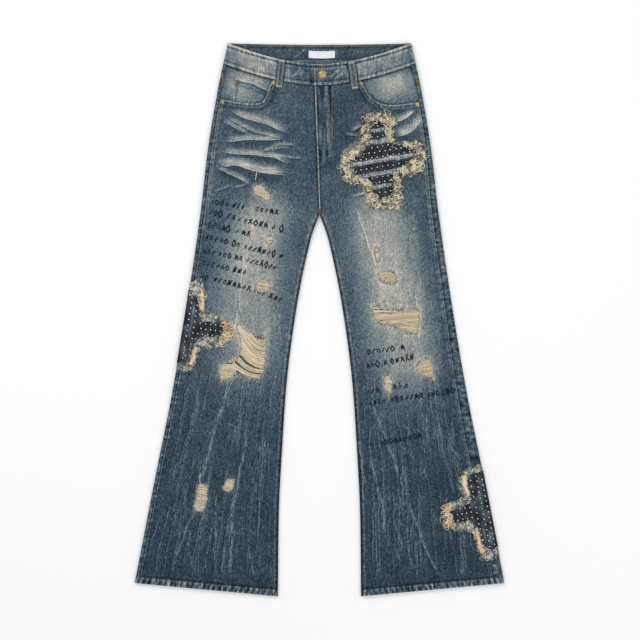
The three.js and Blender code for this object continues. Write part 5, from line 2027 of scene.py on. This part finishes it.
def front_sewing():
    stitches("stitches_hem", [hem_run(side) for side in SIDES], front_height, (0.0, 0.6))
    seams = []
    for side in SIDES:
        seams.append(along_leg(lambda y: side * (inner_edge(y) + 7), -505, 196))
        seams.append(along_leg(lambda y: front_outside(side, y) - side * 2.6, 200, 410))
        seams.append(along_leg(lambda y: front_outside(side, y) - side * 7.4, 206, 404))
    seams.append(along_leg(lambda y: fly_edge(y) + 2.0, 214, 450))
    stitches("stitches_leg_seams", seams, front_height, (0.25, 0.75))
    fly = smooth_line(FLY_STITCH)
    rows = [fly, offset(fly, -5)]
    for side in SIDES:
        rows += [offset(smooth_line(POCKET_MOUTH[side]), -side * by) for by in TWIN_ROWS]
    stitches("stitches_fly_and_pockets", rows, front_height, (0.3, 0.9))


def band_sewing():
    rows = [along_band(lambda x: front_band_foot(x) + up, *ends)
            for up in TWIN_ROWS for ends in ((-182, -14), (-6, 182))]
    rows += [along_band(lambda x: front_top(x) - 3.2, *ends) for ends in ((-172, -14), (-6, 172))]
    stitches("stitches_waistband", rows, band_height, (0.35, 1.0))
    rows = [along_band(y_at, -150, 150) for y_at in (lambda x: 0 * x + 505.5, lambda x: back_top(x) - 4)]
    lining = lambda x, y: np.full(np.shape(x), UNDERSIDE_RISE + BAND + 0.0)
    stitches("stitches_inner_band", rows, lining, (0.2, 0.8))


def loop_sewing():
    """Two rows down each front loop, and a bar of stitches across each of its ends."""
    rng = np.random.default_rng(SEED + 320)
    paths = []
    for ends in LOOPS.values():
        down = [(across, start + np.array([0, 0.025, 0.05]), [-0.1, 0.3, -0.1])
                for across in (-0.27, 0.27) for start in np.arange(0.03, 0.93, 0.062)]
        bars = [(across, along + np.array([-0.022, 0, 0.022]), [0, 0.35, 0])
                for along in (0.035, 0.955) for across in np.linspace(-0.42, 0.42, 13)]
        for across, along, lift in down + bars:
            points = loop_frame(ends, np.full(3, across), along)
            points[:, 2] += lift
            paths.append(points)
    tubes("stitches_belt_loops", paths, 0.5, rng.uniform(0.6, 1.0, len(paths)), "topstitch")


# Each bar tack: its middle, its turn, its length and its width.
BAR_TACKS = [
    ((-159, 463), 0.4, 8, 5),
    ((-188, 465), 1.35, 9, 5),
    ((190, 463), 1.8, 9, 5),
    ((0, 212), 1.4, 9, 5),
]


def bar_tacks(name):
    """Short dense bars of thread where a seam takes the strain."""
    rng = np.random.default_rng(SEED + 330)
    paths = []
    for (cx, cy), turn, length, width in BAR_TACKS:
        c, s = math.cos(turn), math.sin(turn)
        for at in np.arange(-length / 2, length / 2, 0.75):
            w = np.linspace(-width / 2, width / 2, 3) + rng.uniform(-0.4, 0.4)
            x, y = cx + c * at - s * w, cy + s * at + c * w
            z = np.maximum(front_height(x, y), band_height(x, y) if cy > 460 else -1) + [0, 0.5, 0]
            paths.append(np.column_stack([x, y, z]))
    tubes(name, paths, 0.45, rng.uniform(0.0, 0.35, len(paths)), "topstitch")


def under_sewing():
    """The stitches of the back, all of them on the underside."""
    low = lambda x, y: skin(x, y, -1) + 0.55
    rows = []
    x = np.arange(8, 205, 5.0)
    for side in SIDES:
        rows.append(along_leg(lambda y: side * (inner_edge(y) + 6), -505, 190))
        rows += [np.column_stack([side * x, yoke_seam(x) + by]) for by in (3.2, 8.2)]
        rows.append(hem_run(side))
    rows += [along_leg(lambda y: 0 * y + x, 216, 494) for x in (-4.6, 4.6)]
    stitches("stitches_back", rows, low, (0.3, 0.9), face=-1)
    half, down, point = HALF_POCKET, BACK_POCKET["side"], BACK_POCKET["point"]
    rows = []
    for side in SIDES:
        for by in (3, 9):
            corners = [(by - half, -3), (by - half + 8, by / 2 - down), (0, by - point),
                       (half - 8 - by, by / 2 - down), (half - by, -3)]
            rows.append(np.column_stack(pocket_frame(side, *resample(corners, 3).T)))
        for v in (-4, -20):
            u = np.linspace(5 - half, half - 5, 40)
            rows.append(np.column_stack(pocket_frame(side, u, 0 * u + v)))
    on_pocket = lambda x, y: np.full(np.shape(x), 0.55)
    stitches("stitches_back_pockets", rows, on_pocket, (0.3, 0.9), face=-1)


# ------------------------------------------------------------------ the print
# Lines of worn marks on the thighs and shin: (from, to).
PRINT_LINES = {
    -1: [
        ((-210, 228), (-149, 218)), ((-124, 214), (-79, 206)), ((-214, 208), (-165, 196)),
        ((-159, 194), (-68, 173)), ((-217, 183), (-175, 173)), ((-163, 171), (-130, 163)),
        ((-221, 159), (-202, 155)), ((-194, 153), (-75, 122)), ((-227, 132), (-204, 128)),
        ((-196, 126), (-149, 117)), ((-143, 115), (-79, 97)), ((-227, 109), (-198, 102)),
        ((-192, 101), (-139, 89)), ((-231, 83), (-214, 78)), ((-206, 78), (-136, 58)),
        ((-128, 56), (-71, 35)),
    ],
    1: [
        ((92, -65), (151, -57)), ((159, -56), (170, -54)), ((92, -92), (118, -88)),
        ((126, -86), (180, -75)), ((92, -143), (114, -139)), ((134, -135), (176, -129)),
        ((97, -166), (134, -158)), ((139, -158), (204, -149)), ((210, -149), (265, -139)),
        ((120, -242), (196, -227)),
    ],
}

# The motif's strokes in a mark's own square, each (from, to) on a 0 to 1 plan. None is a letter.
MARKS = [
    [((0.0, 0.5), (0.5, 1.0)), ((0.5, 1.0), (1.0, 0.5)), ((1.0, 0.5), (0.5, 0.0)), ((0.5, 0.0), (0.0, 0.5))],
    [((0.1, 0.1), (0.9, 0.9))],
    [((0.1, 0.15), (0.5, 0.7)), ((0.5, 0.7), (0.9, 0.15)), ((0.2, 0.85), (0.8, 0.95))],
    [((0.15, 0.5), (0.85, 0.5)), ((0.35, 0.1), (0.35, 0.25)), ((0.65, 0.75), (0.65, 0.9))],
    [((0.1, 0.1), (0.35, 0.8)), ((0.35, 0.8), (0.6, 0.2)), ((0.6, 0.2), (0.9, 0.9))],
    [((0.2, 0.2), (0.2, 0.45)), ((0.7, 0.55), (0.7, 0.8)), ((0.2, 0.75), (0.4, 0.75)),
     ((0.6, 0.2), (0.85, 0.2))],
    [((0.15, 0.1), (0.15, 0.8)), ((0.5, 0.3), (0.5, 1.0)), ((0.85, 0.0), (0.85, 0.7))],
]
# (size, half width of its strokes): of the lighter mark that a line opens with, and of the others.
OPENING_MARK, MARK = (12, 1.0), (14, 1.3)
HEAVY_LINES = ((1, 0), (1, 1))  # (side, number) of the lines that open with a heavy mark too
INK_LIFT = 0.16
INK_THICK = 0.5


def ink_flakes(side, name):
    """Each stroke of the motif is a thin flake of ink that follows the cloth."""
    rng = np.random.default_rng(SEED + 400 + side)
    flakes, shade = [], []
    for number, (start, end) in enumerate(PRINT_LINES[side]):
        heavy = (side, number) in HEAVY_LINES
        start, end = np.array(start, float), np.array(end, float)
        total = np.hypot(*(end - start))
        way = (end - start) / total
        up = np.array([-way[1], way[0]])
        at = 0.0
        while at < total - 3:
            size, half = MARK if heavy or at > 0 else OPENING_MARK
            wide = size * rng.uniform(0.42, 0.58)
            mark = MARKS[rng.integers(len(MARKS))]
            tall = size * (1.0 if rng.random() < 0.2 else 0.72)
            for (ax, ay), (bx, by) in mark:
                a = start + way * (at + ax * wide) + up * (ay - 0.3) * tall
                b = start + way * (at + bx * wide) + up * (by - 0.3) * tall
                run = (b - a) / (np.hypot(*(b - a)) + 1e-6)
                reach = half * rng.uniform(0.8, 1.15)
                out = np.array([-run[1], run[0]]) * reach
                a, b = a - run * reach * 0.6, b + run * reach * 0.6
                if not any(inside_of(*((a + b)[:, None] / 2), outline)[0] for outline in RIPS[side]):
                    flakes.append([a - out, b - out, b + out, a + out])
                    shade.append(rng.uniform(0.0, 0.55))
            at += wide + size * rng.uniform(0.15, 0.22)
            if rng.random() < 0.1:
                at += size * 0.4
    x, y = np.moveaxis(np.array(flakes), -1, 0)
    top = front_height(x, y, INK_LIFT)
    vertices = np.concatenate([xyz(x, y, top - INK_THICK), xyz(x, y, top)], axis=1).reshape(-1, 3)
    block = np.array([[0, 3, 2, 1], [4, 5, 6, 7], [0, 1, 5, 4], [1, 2, 6, 5], [2, 3, 7, 6], [3, 0, 4, 7]])
    faces = (block[None] + 8 * np.arange(len(flakes))[:, None, None]).reshape(-1, 4)
    piece = in_scene(name, mesh_of(name, vertices, faces, {"Fade": np.repeat(shade, 8)}), "ink")
    dress(piece, "ink")


# ------------------------------------------------------------------ metal
def edit(piece):
    only(piece)
    bpy.ops.object.mode_set(mode="EDIT")


def top_faces(piece):
    """Selects the highest faces in edit mode."""
    bpy.ops.mesh.select_mode(type="FACE")
    bpy.ops.mesh.select_all(action="DESELECT")
    bpy.ops.object.mode_set(mode="OBJECT")
    high = max(face.center.z for face in piece.data.polygons)
    for face in piece.data.polygons:
        face.select = face.center.z > high - 1e-6
    bpy.ops.object.mode_set(mode="EDIT")


def model(name, make, **shape):
    """A new primitive at the origin."""
    bpy.ops.object.select_all(action="DESELECT")
    make(**shape)
    piece = bpy.context.active_object
    piece.name = piece.data.name = name
    return piece


def moved(x, y, z):
    """Moves all of what is being edited, and ends the edit."""
    bpy.ops.mesh.select_all(action="SELECT")
    bpy.ops.transform.translate(value=(x * M, y * M, z * M))
    bpy.ops.object.mode_set(mode="OBJECT")


def brassy(piece, angle, *stands_for):
    piece.data.materials.append(finish("brass"))
    smooth(piece, angle)
    dress(piece, "brass", *stands_for)


def disc(name, middle, radius, foot, top, rings, sides=48):
    """A turned disc of metal. rings are (inset, rise) steps pressed into its upper face."""
    make = bpy.ops.mesh.primitive_cylinder_add
    piece = model(name, make, vertices=sides, radius=radius * M, depth=(top - foot) * M)
    edit(piece)
    for inset, step in rings:
        top_faces(piece)
        bpy.ops.mesh.inset(thickness=inset * M)
        bpy.ops.transform.translate(value=(0, 0, step * M))
    moved(*middle, (foot + top) / 2)
    soften = piece.modifiers.new("Edges", "BEVEL")
    soften.width = 0.18 * M
    soften.segments = 2
    soften.limit_method = "ANGLE"
    bpy.ops.object.modifier_apply(modifier=soften.name)
    brassy(piece, 40, name)


BUTTON_RADIUS = 8.3
BUTTON_RINGS = [(0.5, 0.7), (0.7, 0.35), (1.0, -0.05), (0.5, -0.75), (3.0, 0.0), (0.5, 0.45), (1.0, 0.1)]
RIVETS = {
    "rivet_right_inner": (-90.2, 461),
    "rivet_right_outer": (-189, 423.5),
    "rivet_left_inner": (81, 459.5),
    "rivet_left_outer": (190.5, 418.5),
}
RIVET_RINGS = [(0.5, 0.5), (0.7, 0.25), (0.5, -0.5), (0.6, -0.05), (0.4, 0.55), (0.3, 0.1)]
BEADS = 16
BEAD_CIRCLE = 4.3


def waist_button(name):
    """The turned button, its shank through the slit, and the ring of beads on its face."""
    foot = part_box(name)[1].z / M - 2.4
    disc(name, EYELET, BUTTON_RADIUS, foot, foot + 1.15, BUTTON_RINGS, 64)
    cylinder, sphere = bpy.ops.mesh.primitive_cylinder_add, bpy.ops.mesh.primitive_uv_sphere_add
    shank = model("waist_button_shank", cylinder, vertices=20, radius=2 * M, depth=3 * M)
    edit(shank)
    moved(*EYELET, foot - 1.2)
    brassy(shank, 40)
    bead = model("bead", sphere, segments=8, ring_count=6, radius=0.62 * M)
    beads = []
    for turn in np.arange(BEADS) / BEADS * 2 * math.pi:
        copy = bead.copy()
        copy.data = bead.data.copy()
        bpy.context.scene.collection.objects.link(copy)
        x, y = EYELET[0] + BEAD_CIRCLE * math.cos(turn), EYELET[1] + BEAD_CIRCLE * math.sin(turn)
        copy.location = Vector((x, y, foot + 1.6)) * M
        beads.append(copy)
    bpy.data.objects.remove(bead)
    bpy.ops.object.select_all(action="DESELECT")
    for copy in beads:
        copy.select_set(True)
    bpy.context.view_layer.objects.active = beads[0]
    bpy.ops.object.join()
    bpy.ops.object.transform_apply(location=True, rotation=True, scale=True)
    ring = bpy.context.active_object
    ring.name = ring.data.name = "waist_button_beads"
    brassy(ring, 80)


def rivet(name):
    x, y = RIVETS[name]
    foot = float(front_height(np.array(x), np.array(y))) - 0.1
    disc(name, (x, y), 3.9, foot, foot + 0.75, RIVET_RINGS, 28)


# ------------------------------------------------------------------ the stage
WIDE = 1.248  # what the camera takes in across, at the paper
AIM = (0.001, -0.0005, 0.0)
PAPER_SIZE = 12
PAPER_Z = -0.0004  # just under the stitches of the underside
PAPER_GLOW = 0.07


def soft_light(name, location, size, energy, tint=(1, 1, 1)):
    light = bpy.data.lights.new(name, "AREA")
    light.shape = "DISK"
    light.size = size
    light.energy = energy
    light.color = tint
    lamp = bpy.data.objects.new(name, light)
    bpy.context.scene.collection.objects.link(lamp)
    lamp.location = location
    lamp.rotation_euler = (Vector(AIM) - Vector(location)).to_track_quat("-Z", "Y").to_euler()
    return lamp


def build_stage():
    settings = bpy.context.scene.jeans
    bpy.ops.object.select_all(action="DESELECT")
    bpy.ops.mesh.primitive_plane_add(size=PAPER_SIZE, location=(0, 0, PAPER_Z))
    floor = bpy.context.active_object
    floor.name = "Floor"
    paper = Shader("Studio paper", roughness=1.0, specular=0.0)
    paper.surface.inputs["Base Color"].default_value = (*([settings.paper] * 3), 1)
    paper.surface.inputs["Emission Color"].default_value = (1, 1, 1, 1)
    paper.surface.inputs["Emission Strength"].default_value = PAPER_GLOW
    floor.data.materials.append(paper.material)
    key = soft_light("Key", (-1.3, 1.5, 2.2), 1.1, settings.key)
    fill = soft_light("Fill", (1.8, -0.6, 2.6), 2.4, settings.fill)
    world = bpy.data.worlds.new("Soft sky")
    world.use_nodes = True
    sky = world.node_tree.nodes["Background"]
    sky.inputs["Color"].default_value = (1, 1, 1, 1)
    sky.inputs["Strength"].default_value = settings.sky
    bpy.context.scene.world = world
    camera = bpy.data.objects.new("Camera", bpy.data.cameras.new("Camera"))
    bpy.context.scene.collection.objects.link(camera)
    camera.data.lens = settings.lens
    camera.data.sensor_width = 36
    camera.data.clip_end = 50
    distance = WIDE * settings.lens / camera.data.sensor_width
    camera.location = Vector(AIM) + Vector((0, 0, distance))
    bpy.context.scene.camera = camera
    bpy.context.scene.view_settings.view_transform = "Standard"
    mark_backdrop(floor, key, fill, camera)


# ------------------------------------------------------------------ settings and operators
def length(name, description, default, low, high):
    return FloatProperty(
        name=name, description=description, default=default, min=low, max=high, unit="LENGTH", precision=5
    )


def power(name, description, default):
    return FloatProperty(name=name, description=description, default=default, min=0, unit="POWER")


def share(name, description, default):
    return FloatProperty(name=name, description=description, default=default, min=0, max=1, subtype="FACTOR")


class JeansSettings(bpy.types.PropertyGroup):
    """Sizes and light that can be changed before the pieces are built."""

    thread_pitch: length("Weft pitch", "Spacing of the threads left across a rip", 0.00078, 0.0004, 0.003)
    thread_radius: length(
        "Weft radius", "Half the thickness of a thread left across a rip", 0.00036, 0.0001, 0.001
    )
    stitch_pitch: length("Stitch pitch", "Spacing of the stitches along a seam", 0.0034, 0.002, 0.008)
    stitch_length: length("Stitch length", "Length of one stitch", 0.0026, 0.001, 0.006)
    stitch_radius: length("Stitch radius", "Half the thickness of the sewing thread", 0.00038, 0.0001, 0.001)
    stud_radius: length("Stud radius", "Half the width of a cross's stud", 0.0019, 0.001, 0.004)
    stud_height: length("Stud height", "How far a stud stands off its cloth", 0.0013, 0.0005, 0.003)
    key: power("Key light", "Power of the key light", 20.0)
    fill: power("Fill light", "Power of the fill light", 17.0)
    sky: share("Sky", "Strength of the even light all round", 0.68)
    paper: share("Paper", "How pale the studio paper is", 0.97)
    lens: FloatProperty(
        name="Lens", description="Focal length of the camera above", default=100.0, min=35, unit="CAMERA"
    )


class JEANS_OT_front_panels(bpy.types.Operator):
    """The two front panels, with their rips and pocket mouths cut out"""

    bl_idname = "jeans.front_panels"
    bl_label = "Front panels"

    def execute(self, context):
        for side, word in SIDES.items():
            front_panel(side, f"front_panel_{word}")
        return {"FINISHED"}


class JEANS_OT_rip_threads(bpy.types.Operator):
    """The weft threads left across each rip, and its frayed edge"""

    bl_idname = "jeans.rip_threads"
    bl_label = "Threads across the rips"

    def execute(self, context):
        for side, word in SIDES.items():
            for number in range(len(RIPS[side])):
                rip_threads(side, number, f"rip_threads_{word}_{number + 1}")
            frayed_edges(side, f"frayed_edges_{word}")
        return {"FINISHED"}


class JEANS_OT_back(bpy.types.Operator):
    """The back panels and yokes, which come round to the side seams, and the back pockets"""

    bl_idname = "jeans.back"
    bl_label = "Back panels, yokes and pockets"

    def execute(self, context):
        for side, word in SIDES.items():
            back_panel(side, f"back_panel_{word}")
            back_yoke(side, f"back_yoke_{word}")
            back_pocket(side, f"back_pocket_{word}")
        return {"FINISHED"}


class JEANS_OT_front_pockets(bpy.types.Operator):
    """The facings seen inside the front pockets, and the coin pocket"""

    bl_idname = "jeans.front_pockets"
    bl_label = "Pocket facings and coin pocket"

    def execute(self, context):
        for side, word in SIDES.items():
            pocket_facing(side, f"pocket_facing_{word}")
        coin_pocket("coin_pocket")
        return {"FINISHED"}


class JEANS_OT_waistband(bpy.types.Operator):
    """The waistband's two fronts and back, its bare label and its belt loops"""

    bl_idname = "jeans.waistband"
    bl_label = "Waistband, label and loops"

    def execute(self, context):
        for side, word in SIDES.items():
            front_band(side, f"waistband_front_{word}")
            front_loop(word, f"belt_loop_front_{word}")
        back_band("waistband_back")
        waist_label("waist_label")
        for word in BACK_LOOPS:
            back_loop(word, f"belt_loop_back_{word}")
        return {"FINISHED"}


class JEANS_OT_crosses(bpy.types.Operator):
    """The studded crosses with their frayed borders"""

    bl_idname = "jeans.crosses"
    bl_label = "Studded crosses"

    def execute(self, context):
        hip_cross()
        wrapped_cross(KNEE)
        wrapped_cross(HEM)
        return {"FINISHED"}


class JEANS_OT_metal(bpy.types.Operator):
    """The waist button, the rivets and the hidden zip"""

    bl_idname = "jeans.metal"
    bl_label = "Button, rivets and zip"

    def execute(self, context):
        waist_button("waist_button")
        for name in RIVETS:
            rivet(name)
        zip_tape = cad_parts["fly_zip"]
        zip_tape.data.materials.clear()
        zip_tape.data.materials.append(finish("tape"))
        return {"FINISHED"}


class JEANS_OT_sewing(bpy.types.Operator):
    """Every row of stitches and the bar tacks"""

    bl_idname = "jeans.sewing"
    bl_label = "Stitches"

    def execute(self, context):
        front_sewing()
        band_sewing()
        loop_sewing()
        bar_tacks("bar_tacks")
        under_sewing()
        return {"FINISHED"}


class JEANS_OT_print(bpy.types.Operator):
    """The worn marks printed on the thighs and shin"""

    bl_idname = "jeans.print"
    bl_label = "Printed marks"

    def execute(self, context):
        for side, word in SIDES.items():
            ink_flakes(side, f"printed_marks_{word}")
        return {"FINISHED"}


class JEANS_OT_stage(bpy.types.Operator):
    """The paper floor, the lights and the camera above"""

    bl_idname = "jeans.stage"
    bl_label = "Stage"

    def execute(self, context):
        build_stage()
        return {"FINISHED"}


STEPS = (
    JEANS_OT_front_panels,
    JEANS_OT_rip_threads,
    JEANS_OT_back,
    JEANS_OT_front_pockets,
    JEANS_OT_waistband,
    JEANS_OT_crosses,
    JEANS_OT_metal,
    JEANS_OT_sewing,
    JEANS_OT_print,
    JEANS_OT_stage,
)


class JEANS_PT_build(bpy.types.Panel):
    """The jeans' own panel in the sidebar"""

    bl_idname = "JEANS_PT_build"
    bl_label = "Jeans"
    bl_space_type = "VIEW_3D"
    bl_region_type = "UI"
    bl_category = "Jeans"

    def draw(self, context):
        for name in JeansSettings.__annotations__:
            self.layout.prop(context.scene.jeans, name)
        for step in STEPS:
            self.layout.operator(step.bl_idname)


CLASSES = (JeansSettings, *STEPS, JEANS_PT_build)


def register():
    for item in CLASSES:
        bpy.utils.register_class(item)
    bpy.types.Scene.jeans = PointerProperty(type=JeansSettings)


def unregister():
    del bpy.types.Scene.jeans
    for item in reversed(CLASSES):
        bpy.utils.unregister_class(item)


def corners(box):
    return [[float(value) for value in corner] for corner in box]


def main():
    register()
    for step in STEPS:
        group, action = step.bl_idname.split(".")
        if getattr(getattr(bpy.ops, group), action)() != {"FINISHED"}:
            raise RuntimeError(f"{step.bl_label} could not be built")
    {"cad": corners(CAD_BOX), "scene": corners(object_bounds())}


if __name__ == "__main__":
    main()
